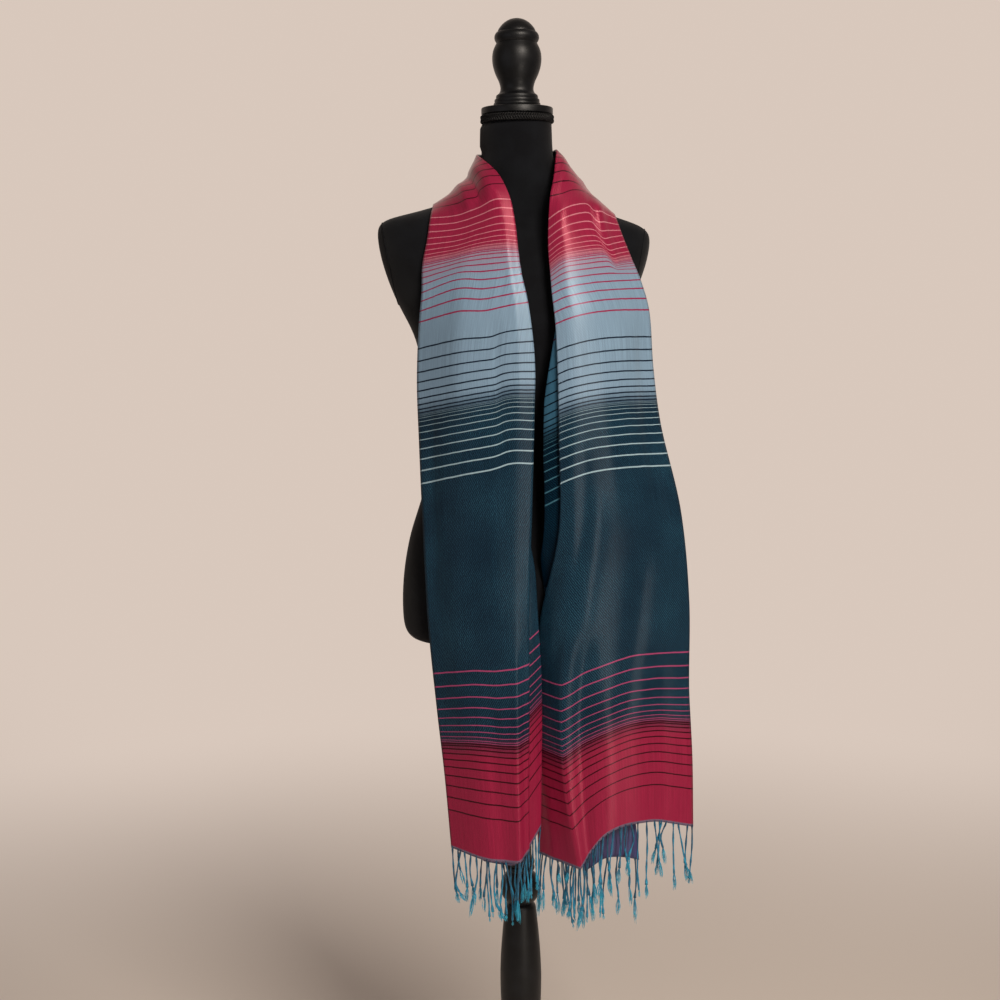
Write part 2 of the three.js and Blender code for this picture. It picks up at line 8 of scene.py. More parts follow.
import bpy
import numpy as np
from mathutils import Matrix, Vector


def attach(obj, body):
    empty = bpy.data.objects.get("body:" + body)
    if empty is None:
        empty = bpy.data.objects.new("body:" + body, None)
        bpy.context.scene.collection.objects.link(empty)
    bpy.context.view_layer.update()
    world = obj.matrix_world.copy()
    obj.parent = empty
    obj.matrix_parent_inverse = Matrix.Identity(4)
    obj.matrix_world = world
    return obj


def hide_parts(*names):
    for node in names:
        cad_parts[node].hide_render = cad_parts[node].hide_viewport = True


mm = 0.001
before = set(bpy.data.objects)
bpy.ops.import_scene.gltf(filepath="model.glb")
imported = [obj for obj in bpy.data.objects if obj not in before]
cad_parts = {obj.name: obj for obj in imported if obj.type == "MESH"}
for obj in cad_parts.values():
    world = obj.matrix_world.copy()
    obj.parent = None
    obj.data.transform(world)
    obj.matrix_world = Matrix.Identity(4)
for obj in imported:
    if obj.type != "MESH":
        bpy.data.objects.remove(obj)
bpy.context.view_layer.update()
print("frame loaded")


def deselectAll():
    if bpy.context.object and bpy.context.object.mode != "OBJECT":
        bpy.ops.object.mode_set(mode="OBJECT")
    bpy.ops.object.select_all(action="DESELECT")


def makeActive(piece):
    deselectAll()
    piece.select_set(True)
    bpy.context.view_layer.objects.active = piece


def editAll():
    bpy.ops.object.mode_set(mode="EDIT")
    bpy.ops.mesh.select_all(action="SELECT")


def editDone():
    bpy.ops.object.mode_set(mode="OBJECT")


def applyModifiers(piece):
    makeActive(piece)
    for modifier in list(piece.modifiers):
        bpy.ops.object.modifier_apply(modifier=modifier.name)


def addPiece(name, mesh):
    piece = bpy.data.objects.new(name, mesh)
    bpy.context.scene.collection.objects.link(piece)
    makeActive(piece)
    return piece


def addMesh(name, vertices, faces, uvName=None, uvs=()):  # uvs has one place in the pattern for each vertex
    mesh = bpy.data.meshes.new(name)
    mesh.from_pydata(vertices, [], faces)
    if uvName:
        layer = mesh.uv_layers.new(name=uvName)
        for loop in mesh.loops:
            layer.data[loop.index].uv = uvs[loop.vertex_index]
    piece = addPiece(name, mesh)
    bpy.ops.object.shade_smooth()
    return piece


def giveMaterials(piece, *materials):
    piece.data.materials.clear()
    for material in materials:
        piece.data.materials.append(material)


def joinFrame(piece, slot, *nodes):  # slot is not used; the piece joins the root body, and the nodes that it stands for are hidden
    if nodes:
        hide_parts(*nodes)
    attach(piece, "root")


# ---- camera
cameraView = {
    "place": (-0.023, -2.18, 1.261),
    "tiltDown": 7.15,
    "roll": 0.4,  # upright things lean a little to the left
    "lens": 57.6,
}


def makeCamera():
    bpy.ops.object.camera_add(location=cameraView["place"])
    camera = bpy.context.object
    camera.rotation_euler = (math.radians(90 - cameraView["tiltDown"]), math.radians(cameraView["roll"]), 0)
    camera.data.lens = cameraView["lens"]
    bpy.context.scene.camera = camera


makeCamera()
print("camera placed")


# ---- materials
def linearColour(code):  # sRGB hex to linear
    channels = [int(code[i : i + 2], 16) / 255 for i in (1, 3, 5)]
    return [c / 12.92 if c <= 0.04045 else ((c + 0.055) / 1.055) ** 2.4 for c in channels] + [1]


def feed(node, inputs):  # each input takes a value, a colour's hex code, a socket, or a node's first output
    for name, value in inputs.items():
        if isinstance(value, bpy.types.Node):
            value = next(output for output in value.outputs if output.enabled)
        if isinstance(value, bpy.types.NodeSocket):
            node.id_data.links.new(value, node.inputs[name])
        else:
            node.inputs[name].default_value = linearColour(value) if isinstance(value, str) else value


def addNode(tree, kind, inputs=None, **settings):
    node = tree.nodes.new("ShaderNode" + kind)
    for name, value in settings.items():
        setattr(node, name, value)
    feed(node, inputs or {})
    return node


def newMaterial(name):  # with its own way to add a node, and its shader
    material = bpy.data.materials.new(name)
    material.use_nodes = True
    tree = material.node_tree
    return material, functools.partial(addNode, tree), tree.nodes["Principled BSDF"]


def fillRamp(ramp, stops, interpolation="LINEAR"):  # each stop's colour is a hex code or four numbers
    ramp.color_ramp.interpolation = interpolation
    elements = ramp.color_ramp.elements
    while len(elements) > 1:
        elements.remove(elements[-1])
    elements[0].position = stops[0][0]
    for number, (place, colour) in enumerate(stops):
        element = elements.new(place) if number else elements[0]
        element.color = linearColour(colour) if isinstance(colour, str) else colour
    return ramp


clothColours = {
    "red": "#8b1b3b",
    "navy": "#0c1c2c",
    "lightBlue": "#7b95ab",
    "darkOnRed": "#270510",
    "pinkOnNavy": "#9c3f68",
    "whiteOnNavy": "#94adb8",
    "navyOnLightBlue": "#0b1a2b",
    "magentaOnLightBlue": "#8c1d46",
    "whiteOnRed": "#bb7380",
    "hemBand": "#6b6078",
    "ribs": "#36687f",  # teal warp that shows between the wefts
    "wrongSide": "#3f3565",
    "wrongSideTeal": "#22739c",
    "wrongSideDark": "#140f2a",
    "selvedge": "#9a8f9e",
    "selvedgeDark": "#6d5f72",
}
stripes = {
    "rampLength": 1.2,  # metres of cloth from the hem that the ramps cover
    "linesEachSide": 10,
    # for each change of colour its distance from the hem, how far its lines reach to each side, the colour
    # between its two bands, and how far before and after it they run into each other
    "changes": [
        (0.159, 0.101, "#521b32", 0.02, 0.008),
        (0.6075, 0.0865, "#203345", 0.006, 0.02),
        (0.8055, 0.0765, "#93707f", 0.035, 0.008),
        (1.018, 0.101, "#521b32", 0.016, 0.008),
    ],
    "bands": ["red", "navy", "lightBlue", "red", "navy"],
    "lines": [
        "darkOnRed", "pinkOnNavy", "whiteOnNavy", "navyOnLightBlue",
        "magentaOnLightBlue", "whiteOnRed", "darkOnRed", "pinkOnNavy",
    ],
    "lineWidth": (1.9 * mm, 1.95 * mm),  # next to the change, and farthest from it
    # how much of the first width the pale and bright lines keep next to the change
    "thinShare": {"pinkOnNavy": 0.3, "whiteOnNavy": 0, "whiteOnRed": 0.2, "magentaOnLightBlue": 0.6},
    "lineSoftness": 0.25 * mm,
    "mixedShare": 0.72,
    "hemBandWidth": 4 * mm,
    "hemBandSoftness": 0.7 * mm,
    "lustre": {"red": "#ffa0ac", "navy": "#868e96", "lightBlue": "#c6d2de"},  # tint of the glints
    "ribShare": {"red": 0.04, "navy": 0.5, "lightBlue": 0.1},  # how far the warp's ribs show in each band
    "turnReach": 0.02,  # metres to each side of a change over which lustre and ribs turn
}
weave = {
    "weftStray": 0.5 * mm,  # how far a weft line strays to each side
    "ribSpacing": 2.4 * mm,
    "ribTurn": 32,
}
waveBands = 3.183  # bands to a metre that the wave texture draws at scale 1


def softSteps(levels):  # one level for each band
    full, reach = stripes["rampLength"], stripes["turnReach"]
    stops = [(0, levels[stripes["bands"][0]])]
    for (c, *_), before, after in zip(stripes["changes"], stripes["bands"], stripes["bands"][1:]):
        stops += [((c - reach) / full, levels[before]), ((c + reach) / full, levels[after])]
    return stops


# weft-faced satin: coloured weft bands over a teal warp, a soft sheen along the folds
def satinWovenViscose(name, shade, glint):
    material, add, shader = newMaterial(name)
    full = stripes["rampLength"]
    changes = stripes["changes"]
    uv = add("UVMap", uv_map="weave")
    cloth = add("SeparateXYZ", {0: uv})
    strayPlace = add("Mapping", {"Vector": uv, "Scale": (60, 25, 1)})
    stray = add("TexNoise", {"Vector": strayPlace, "Scale": 1, "Detail": 2})
    farthest = weave["weftStray"]
    strayed = add("MapRange", {"Value": stray, "To Min": -farthest, "To Max": farthest})
    along = add("Math", {0: cloth.outputs[1], 1: strayed}, operation="ADD")
    share = add("Math", {0: along, 1: full}, operation="DIVIDE")

    # the nearest change of colour: its place and its reach are the first two channels of a ramp
    between = [0] + [(a[0] + a[1] + b[0] - b[1]) / 2 for a, b in zip(changes, changes[1:])]
    stops = [(s / full, (c / full, r, 0, 1)) for s, (c, r, *_) in zip(between, changes)]
    nearest = fillRamp(add("ValToRGB", {0: share}), stops, "CONSTANT")
    change = add("SeparateColor", {0: nearest})
    reach = change.outputs[1]
    middle = add("Math", {0: change, 1: full}, operation="MULTIPLY")
    offset = add("Math", {0: along, 1: middle}, operation="SUBTRACT")
    away = add("Math", {0: offset}, operation="ABSOLUTE")

    # the lines lie at distances that grow with the square of their number, and part is the nearest line's
    # number as a share of the last one's
    count = stripes["linesEachSide"]
    part = away
    for operation, other in [
        ("DIVIDE", reach), ("SQRT", 0), ("MULTIPLY", count), ("ROUND", 0),
        ("MAXIMUM", 1), ("MINIMUM", count), ("DIVIDE", count),
    ]:
        part = add("Math", {0: part, 1: other}, operation=operation)
    square = add("Math", {0: part, 1: part}, operation="MULTIPLY")
    place = add("Math", {0: square, 1: reach}, operation="MULTIPLY")
    gap = add("Math", {0: away, 1: place}, operation="SUBTRACT")
    toLine = add("Math", {0: gap}, operation="ABSOLUTE")

    def lineColour(name):  # its alpha is how much of the thin width it keeps next to the change
        return linearColour(clothColours[name])[:3] + [stripes["thinShare"].get(name, 1)]

    starts = [s for start, (c, *_) in zip(between, changes) for s in (start, c)]
    stops = [(s / full, lineColour(name)) for s, name in zip(starts, stripes["lines"])]
    lines = fillRamp(add("ValToRGB", {0: share}), stops, "CONSTANT")
    thin, thick = stripes["lineWidth"]
    thinHere = add("Math", {0: lines.outputs[1], 1: thin / 2}, operation="MULTIPLY")
    halfWidth = add("MapRange", {"Value": part, "To Min": thinHere, "To Max": thick / 2})
    inside = add("Math", {0: halfWidth, 1: toLine}, operation="SUBTRACT")
    soft = stripes["lineSoftness"]
    onLine = add(
        "MapRange", {"Value": inside, "From Min": -soft, "From Max": soft},
        interpolation_type="SMOOTHSTEP",
    )

    # the band colours, sharp and mixed
    bands = [clothColours[name] for name in stripes["bands"]]
    sharpStops = [(0, bands[0])]
    mixedStops = [(0, bands[0])]
    for (c, _, both, before, after), own, following in zip(changes, bands, bands[1:]):
        sharpStops.append((c / full, following))
        mixedStops += [((c - before) / full, own), (c / full, both), ((c + after) / full, following)]
    sharp = fillRamp(add("ValToRGB", {0: share}), sharpStops, "CONSTANT")
    mixed = fillRamp(add("ValToRGB", {0: share}), mixedStops)

    # warp: fine streaks about a millimetre apart, coarser than the real threads so that they show
    streakPlace = add("Mapping", {"Vector": uv, "Scale": (900, 14, 1)})
    streak = add("TexNoise", {"Vector": streakPlace, "Scale": 1, "Detail": 3})
    streakShade = add(
        "MapRange", {"Value": streak, "From Min": 0.3, "From Max": 0.7, "To Min": 0.86, "To Max": 1.14}
    )
    # twill: diagonal ribs, broken up, strongest where the cloth is dark
    turned = add("Mapping", {"Vector": uv, "Rotation": (0, 0, math.radians(weave["ribTurn"]))})
    twill = add(
        "TexWave",
        {"Vector": turned, "Scale": 1 / weave["ribSpacing"] / waveBands, "Distortion": 3.5,
         "Detail": 2, "Detail Scale": 2},
        wave_type="BANDS", bands_direction="X",
    )
    speckle = add("TexNoise", {"Vector": uv, "Scale": 700, "Detail": 2})
    patches = add("TexNoise", {"Vector": uv, "Scale": 9, "Detail": 2})
    ribs = add("Math", {0: twill.outputs[1], 1: speckle}, operation="MULTIPLY")
    broken = add("Math", {0: ribs, 1: patches}, operation="MULTIPLY")
    contrast = add("MapRange", {"Value": broken, "From Min": 0.07, "From Max": 0.34})
    greys = {name: (level, level, level, 1) for name, level in stripes["ribShare"].items()}
    ribLevel = fillRamp(add("ValToRGB", {0: share}), softSteps(greys))
    ribShare = add("Math", {0: contrast, 1: ribLevel}, operation="MULTIPLY")
    width, edge = stripes["hemBandWidth"], stripes["hemBandSoftness"]
    atHem = add(
        "MapRange", {"Value": cloth.outputs[1], "From Min": width + edge, "From Max": width - edge},
        interpolation_type="SMOOTHSTEP",
    )

    colour = sharp
    layers = [  # how far each covers those below, its colour, and how it mixes with them
        (stripes["mixedShare"], mixed, "MIX"),
        (ribShare, clothColours["ribs"], "MIX"),
        (onLine, lines, "MIX"),
        (atHem, clothColours["hemBand"], "MIX"),
        (1, streakShade, "MULTIPLY"),
        # painted shade: this tint darkens the whole cloth, and is white where none is painted
        (1, shade, "MULTIPLY"),
    ]
    for cover, over, blend in layers:
        mix = {"Factor": cover, 6: colour, 7: over}  # inputs 6 and 7 are the two colours
        colour = add("Mix", mix, data_type="RGBA", blend_type=blend)
    threads = add("Math", {0: twill.outputs[1], 1: streak}, operation="ADD")
    feed(shader, {
        "Base Color": colour,
        "Roughness": add("MapRange", {"Value": speckle, "To Min": 0.26, "To Max": 0.38}),
        "Normal": add("Bump", {"Height": threads, "Strength": 0.25, "Distance": 0.25 * mm}),
        "IOR": 1.47,
        "Specular IOR Level": glint,
        "Specular Tint": fillRamp(add("ValToRGB", {0: share}), softSteps(stripes["lustre"])),
        "Anisotropic": 0.75,
        "Anisotropic Rotation": 0.25,  # the wefts lie crosswise, so glints run along
    })
    return material


def satinWrongSide():  # the warp-faced back of the same cloth: violet blue with teal and dark streaks
    material, add, shader = newMaterial("satinWovenViscoseWrongSide")
    uv = add("UVMap", uv_map="weave")
    stretched = add("Mapping", {"Vector": uv, "Scale": (330, 2.5, 1)})
    streaks = add("TexNoise", {"Vector": stretched, "Scale": 1, "Detail": 2, "Roughness": 0.7})
    names = [(0.40, "wrongSideDark"), (0.46, "wrongSide"), (0.54, "wrongSide"), (0.60, "wrongSideTeal")]
    stops = [(place, clothColours[name]) for place, name in names]
    feed(shader, {
        "Base Color": fillRamp(add("ValToRGB", {0: streaks}), stops),
        "Normal": add("Bump", {"Height": streaks, "Strength": 0.2, "Distance": 0.3 * mm}),
        "Roughness": 0.55,
        "Sheen Weight": 0.15,
    })
    return material


def wovenSelvedge():  # the firm edge of the weave, where every weft turns: a thin pale line
    material, add, shader = newMaterial("wovenSelvedge")
    uv = add("UVMap", uv_map="weave")
    turns = add("TexNoise", {"Vector": uv, "Scale": 400, "Detail": 1})
    stops = [(0.35, clothColours["selvedgeDark"]), (0.65, clothColours["selvedge"])]
    feed(shader, {"Base Color": fillRamp(add("ValToRGB", {0: turns}), stops), "Roughness": 0.6})
    return material


# two plies twisted into a cord: darker near the hem, and brighter down the cord and at the frayed end
def twistedViscoseYarn():
    material, add, shader = newMaterial("twistedViscoseYarn")
    uv = add("UVMap", uv_map="strand")
    strand = add("SeparateXYZ", {0: uv})
    place = add("TexCoord").outputs["Object"]
    mottle = add("TexNoise", {"Vector": place, "Scale": 160, "Detail": 2})
    shift = add("MapRange", {"Value": mottle, "To Min": -0.45, "To Max": 0.45})
    level = add("Math", {0: strand.outputs[1], 1: shift}, operation="ADD")
    stops = [(0, "#0c2e44"), (0.3, "#0f5878"), (0.65, "#0f86ad"), (1, "#2fb0d0")]
    fibres = add("TexNoise", {"Vector": place, "Scale": 1500})
    feed(shader, {
        "Base Color": fillRamp(add("ValToRGB", {0: level}), stops),
        "Normal": add("Bump", {"Height": fibres, "Strength": 0.3, "Distance": 0.2 * mm}),
        "Roughness": 0.5,
        "Sheen Weight": 0.08,
    })
    return material


def knittedJersey():  # fine cotton jersey stretched over the form: a matt black knit with a little nap
    material, add, shader = newMaterial("knittedJersey")
    place = add("TexCoord").outputs["Object"]
    knit = add("Mapping", {"Vector": place, "Scale": (900, 900, 450)})
    stitches = add("TexNoise", {"Vector": knit, "Scale": 1, "Detail": 2})
    dust = add("TexNoise", {"Vector": place, "Scale": 35, "Detail": 4})
    feed(shader, {
        "Base Color": fillRamp(add("ValToRGB", {0: dust}), [(0.35, "#08090d"), (0.7, "#0e1014")]),
        "Normal": add("Bump", {"Height": stitches, "Strength": 0.35, "Distance": 0.3 * mm}),
        "Roughness": 0.9,
        "Specular IOR Level": 0.12,
        "Sheen Weight": 0.07,
        "Sheen Roughness": 0.5,
    })
    return material


def braidedGimp():  # glossy cords plaited into a flat trim
    material, add, shader = newMaterial("braidedGimp")
    place = add("TexCoord").outputs["Object"]
    threads = add("TexNoise", {"Vector": place, "Scale": 900})
    stops = [(0.35, "#050506"), (0.7, "#0e0e10")]
    feed(shader, {
        "Base Color": fillRamp(add("ValToRGB", {0: threads}), stops),
        "Normal": add("Bump", {"Height": threads, "Strength": 0.4, "Distance": 0.2 * mm}),
        "Roughness": 0.6,
        "Specular IOR Level": 0.25,
    })
    return material


# turned wood under satin black paint: faint rings from the chisel, worn lighter in spots
def turnedPaintedWood():
    material, add, shader = newMaterial("turnedPaintedWood")
    place = add("TexCoord").outputs["Object"]
    rings = add("Mapping", {"Vector": place, "Scale": (30, 30, 900)})
    chisel = add("TexNoise", {"Vector": rings, "Scale": 1, "Detail": 2})
    spots = add("TexNoise", {"Vector": place, "Scale": 60, "Detail": 5})
    feed(shader, {
        "Base Color": fillRamp(add("ValToRGB", {0: spots}), [(0.4, "#08090b"), (0.72, "#101114")]),
        "Roughness": add("MapRange", {"Value": spots, "To Min": 0.3, "To Max": 0.55}),
        "Normal": add("Bump", {"Height": chisel, "Strength": 0.25, "Distance": 0.25 * mm}),
        "IOR": 1.5,
        "Specular IOR Level": 0.28,
    })
    return material


clothFace = satinWovenViscose("satinWovenViscose", "#ffffff", 0.55)
# painted shade: a darker, teal-tinted copy of the satin with less glint, for the third layer in the shadow
# inside the right fold
clothPaintedShade = satinWovenViscose("satinWovenViscosePaintedShade", "#709daa", 0.2)
clothBack = satinWrongSide()
clothEdge = wovenSelvedge()
yarn = twistedViscoseYarn()
jersey = knittedJersey()
gimp = braidedGimp()
paintedWood = turnedPaintedWood()
print("materials made")


# ---- scarf
# Rows along the cloth, each one weft line in mm. along is the distance in the stripe pattern from the hem.
# edge, middle, rise, crest and fold are points of the front layer from its outer selvedge to its inner fold.
# second, peek and fourth size the layers behind it, and spacing is from layer to layer. The slips say how
# much higher the third layer's fold and the fourth layer's end hang, and sharp is 1 where the crest is a
# pressed ridge. What a row leaves out at its end is 0, and behind holds what most rows at the neck share.
rowColumns = [
    "along", "edge", "middle", "rise", "crest", "fold",
    "second", "peek", "fourth", "spacing", "thirdSlip", "fourthSlip", "sharp",
]
leftRows = [
    [0, (-94, -92, 526), (-50, -119, 518), (-26, -126, 516), (-4, -129, 517), (12, -121, 532),
     75, 31, 90, 5, -8, 6, 0.35],
    [110, (-102, -92, 628), (-54, -121, 630), (-28, -128, 628), (-4, -130, 628), (12, -122, 635),
     78, 27, 90, 4.8, 24, 26, 0.3],
    [207, (-111, -92, 716), (-60, -122, 726), (-30, -129, 725), (-4, -131, 728), (13, -124, 733),
     80, 22, 88, 4.6, 30, 26, 0.2],
    [336, (-122, -90, 839), (-66, -122, 850), (-34, -130, 854), (-6, -131, 859), (13, -126, 862),
     80, 11, 86, 4.2, 30, 20, 0.1],
    [462, (-127, -88, 960), (-70, -122, 977), (-38, -130, 983), (-8, -133, 992), (17, -129, 992),
     80, -8, 84, 4, 10, 8],
    [577, (-131, -80, 1078), (-72, -123, 1093), (-38, -132, 1101), (-8, -137, 1108), (20, -134, 1107),
     80, -8, 82, 3.8],
    [652, (-133, -72, 1155), (-74, -119, 1169), (-40, -131, 1176), (-8, -137, 1182), (21, -134, 1183),
     78, -8, 80, 3.4],
    [728, (-129, -79, 1231), (-74, -117, 1245), (-42, -128, 1246), (-12, -133, 1252), (13, -130, 1256),
     75, -8, 78, 3.2],
    [768, (-125, -81, 1270), (-78, -106, 1286), (-44, -119, 1286), (-17, -124, 1289), (5, -121, 1293),
     70, -9, 74, 3],
    [802, (-124, -74, 1305), (-78, -95, 1314), (-46, -107, 1321), (-20, -113, 1323), (1, -110, 1323),
     65, -10, 70, 2.9],
    [840, (-118, -64, 1338), (-76, -81, 1342), (-46, -94, 1350), (-22, -101, 1355), (-2, -99, 1354),
     62, -11, 66, 2.9],
    [881, (-114, -50, 1367), (-80, -66, 1369), (-50, -80, 1378), (-28, -90, 1388), (-8, -88, 1388),
     58, -12, 62, 2.9],
]
behind = [56, -14, 60, 2.7]
neckRows = [
    [917, (-112, -28, 1381), (-78, -55, 1388), (-53, -68, 1399), (-33, -79, 1408), (-16, -77, 1409),
     56, -13, 60, 2.7],
    [947, (-111, -5, 1388), (-78, -37, 1403), (-58, -48, 1413), (-42, -60, 1424), (-26, -63, 1426), *behind],
    [979, (-108, 25, 1387), (-81, -5, 1408), (-65, -19, 1423), (-55, -29, 1437), (-43, -36, 1443), *behind],
    [1010, (-94, 64, 1371), (-75, 41, 1403), (-65, 22, 1427), (-58, 8, 1442), (-53, 0, 1453), *behind],
    [1040, (-70, 83, 1358), (-59, 65, 1400), (-52, 50, 1428), (-49, 39, 1443), (-46, 31, 1456), *behind],
    [1070, (-36, 95, 1351), (-30, 80, 1396), (-28, 67, 1427), (-27, 57, 1443), (-26, 48, 1457), *behind],
    [1098, (0, 99, 1349), (0, 84, 1396), (0, 72, 1427), (0, 63, 1443), (1, 54, 1458), *behind],
    [1070, (38, 96, 1351), (32, 80, 1396), (29, 67, 1427), (28, 57, 1444), (27, 48, 1458), *behind],
    [1040, (74, 85, 1356), (61, 65, 1400), (53, 50, 1430), (50, 39, 1446), (47, 31, 1459), *behind],
    [1010, (104, 63, 1364), (82, 42, 1400), (68, 20, 1433), (62, 6, 1450), (54, -2, 1459), *behind],
    [979, (123, 40, 1370), (92, 12, 1410), (73, -10, 1434), (63, -25, 1444), (52, -33, 1445), *behind],
    [947, (130, 14, 1374), (96, -17, 1402), (75, -40, 1419), (61, -55, 1422), (48, -59, 1419), *behind],
    [917, (129, -14, 1374), (97, -40, 1397), (76, -58, 1402), (57, -74, 1396), (43, -78, 1393),
     56, -13, 60, 2.7],
]
rightRows = [
    [882, (130, -42, 1368), (100, -62, 1383), (76, -78, 1382), (56, -90, 1374), (40, -89, 1363),
     58, -12, 62, 2.9],
    [840, (137, -56, 1346), (105, -79, 1348), (80, -93, 1346), (57, -102, 1339), (39, -100, 1326),
     60, -11, 66, 2.9],
    [800, (150, -64, 1312), (112, -92, 1315), (84, -106, 1312), (58, -114, 1307), (41, -112, 1295),
     62, -10, 70, 2.9],
    [768, (161, -68, 1285), (118, -101, 1283), (88, -117, 1280), (61, -125, 1275), (43, -122, 1267),
     62, -8, 74, 3, -8],
    [729, (172, -70, 1246), (124, -112, 1246), (92, -128, 1243), (64, -134, 1236), (47, -130, 1229),
     62, 6, 78, 3.2, -18],
    [652, (178, -72, 1169), (128, -118, 1170), (94, -133, 1167), (68, -138, 1162), (50, -134, 1155),
     62, 22, 85, 3.4, -22, -8],
    [578, (187, -80, 1098), (132, -122, 1099), (96, -134, 1096), (69, -138, 1089), (51, -134, 1082),
     62, 24, 92, 3.8, -22, -14],
    [461, (213, -90, 985), (146, -122, 987), (104, -133, 983), (72, -137, 974), (51, -132, 966),
     62, 24, 102, 4, -20, -18],
    [335, (225, -92, 865), (146, -122, 863), (98, -132, 849), (58, -134, 832), (25, -106, 834),
     62, -12, 120, 4.2, -9, -22, 0.3],
    [205, (226, -92, 741), (152, -120, 744), (102, -130, 731), (54, -132, 706), (20, -91, 709),
     62, -22, 138, 4.6, 0, -34, 0.8],
    [103, (231, -90, 646), (162, -120, 658), (110, -130, 642), (61, -132, 607), (20, -86, 610),
     62, -28, 164, 4.8, 0, -44, 1],
    [0, (233, -88, 552), (166, -119, 568), (115, -130, 557), (79, -132, 508), (23, -84, 515),
     62, -30, 184, 5, 0, -56, 1],
]
cloth = {
    "wall": 0.6,
    "rowStep": 4.5,  # mm along the cloth from one row of faces to the next
    "facetColumns": 10,  # columns of faces from the fold to the crest
    "frontColumns": 32,  # and from the crest to the outer edge
    "foldColumns": 4,
    "secondColumns": 9,
    "thirdColumns": 9,
    "fourthColumns": 14,
    "curveSteps": 40,  # of a curve from one point of a row to the next, before its columns are shared out
    "guideSteps": 60,  # of a curve from one row of the tables to the next, before the rows are shared out
    "levelShare": 0.4,  # of the fourth layer that hangs level before it drops
    "dropPower": 0.7,
    # painted shade: above this the right third layer takes the darker copy of the satin
    "paintedShadeAbove": 400,  # mm along, above which the right third layer shows from inside the fold
    "leftPeekTilt": 0.45,  # the left third layer rises by this share of how far it shows beyond the fold
}
# Soft creases of the front layer. Each runs from one place to another: mm along from the nearest hem, and the
# share of the way across from the fold to the outer edge. Then come its depth in mm, positive outwards, its
# reach in mm to both sides, and by how many mm the cloth beyond it, towards the outer edge, is lowered.
creaseFade = 0.22  # share of a crease's length over which it fades at each end
dropReach = 34  # mm beyond a crease over which lowered cloth recovers
dropEdge = 0.6  # of a crease's reach, over which the cloth drops
leftCreases = [
    ((885, 0.36), (1020, 0.33), -1.6, 4, 9),
    ((872, 0.50), (1000, 0.50), 2.6, 8, 0),
    ((876, 0.20), (990, 0.20), 1.6, 8, 0),
    ((500, 0.24), (735, 0.30), -2.2, 9, 3),
    ((560, 0.12), (860, 0.10), 1.6, 7, 0),
    ((600, 0.62), (850, 0.50), 1.5, 16, 0),
    ((0, 0.17), (300, 0.14), 3.6, 6, 0),
    ((0, 0.34), (260, 0.42), -2.8, 11, 0),
    ((120, 0.72), (470, 0.66), 1.8, 17, 0),
    ((300, 0.30), (560, 0.36), 1.5, 12, 0),
    ((330, 0.90), (640, 0.86), -1.6, 9, 0),
    # the last ones run on round the back of the neck, and meet the other side's at the middle, along 1098
    ((950, 0.62), (1246, 0.44), 3.2, 8, 0),
    ((965, 0.42), (1231, 0.26), -1.5, 6, 0),
    ((1000, 0.86), (1196, 0.80), -1.4, 7, 0),
]
rightCreases = [
    ((775, 0.72), (935, 0.575), -1.3, 8, 19),
    ((780, 0.80), (920, 0.70), 1.6, 9, 0),
    ((770, 0.66), (905, 0.70), 2.2, 9, 0),
    ((420, 0.80), (740, 0.88), -2.4, 11, 0),
    ((430, 0.46), (720, 0.42), 1.8, 18, 0),
    ((250, 0.16), (600, 0.22), -2.0, 10, 0),
    ((300, 0.34), (520, 0.30), 1.8, 12, 0),
    ((150, 0.62), (430, 0.70), -3, 15, 0),
    ((0, 0.80), (290, 0.83), -3.5, 17, 0),
    ((0, 0.97), (210, 0.97), 1.6, 7, 0),
    ((0, 0.355), (330, 0.34), -5, 13, 0),
    ((0, 0.53), (260, 0.50), 2, 16, 0),
    ((0, 0.10), (120, 0.12), 1.8, 6, 0),
    ((940, 0.46), (1256, 0.60), 3.2, 8, 0),
    ((980, 0.30), (1216, 0.38), -1.5, 6, 0),
    ((955, 0.90), (1241, 0.76), -1.4, 7, 0),
]


def unit(vectors):
    return vectors / np.linalg.norm(vectors, axis=-1, keepdims=True)


def distances(points):  # from the start of a line of points, or of each row of a grid of them
    steps = np.linalg.norm(np.diff(points, axis=-2), axis=-1)
    return np.insert(np.cumsum(steps, axis=-1), 0, 0, axis=-1)


def splineAt(points, at):  # a centripetal curve through the points, at places counted in points
    points = np.asarray(points, float)
    last = len(points) - 1
    i = np.clip(np.floor(at).astype(int), 0, last - 1)
    w = (at - i)[:, None]
    p1 = points[i]
    p2 = points[i + 1]
    p0 = np.where((i > 0)[:, None], points[np.maximum(i - 1, 0)], 2 * p1 - p2)
    p3 = np.where((i < last - 1)[:, None], points[np.minimum(i + 2, last)], 2 * p2 - p1)
    spans = ((p0, p1), (p1, p2), (p2, p3))
    tiny = 1e-9
    d0, d1, d2 = (np.sqrt(np.maximum(np.linalg.norm(b - a, axis=1), tiny))[:, None] for a, b in spans)
    t1 = ((p1 - p0) / d0 - (p2 - p0) / (d0 + d1) + (p2 - p1) / d1) * d1
    t2 = ((p2 - p1) / d1 - (p3 - p1) / (d1 + d2) + (p3 - p2) / d2) * d1
    c2 = 3 * (p2 - p1) - 2 * t1 - t2
    c3 = 2 * (p1 - p2) + t1 + t2
    return p1 + t1 * w + c2 * w**2 + c3 * w**3


def interpolated(places, run, points):  # points at places along a line of them
    return np.stack([np.interp(places, run, points[:, k]) for k in range(3)], axis=-1)


def evenly(points, count):  # the same line shared out into evenly spaced points
    run = distances(points)
    return interpolated(np.linspace(0, run[-1], count), run, points)


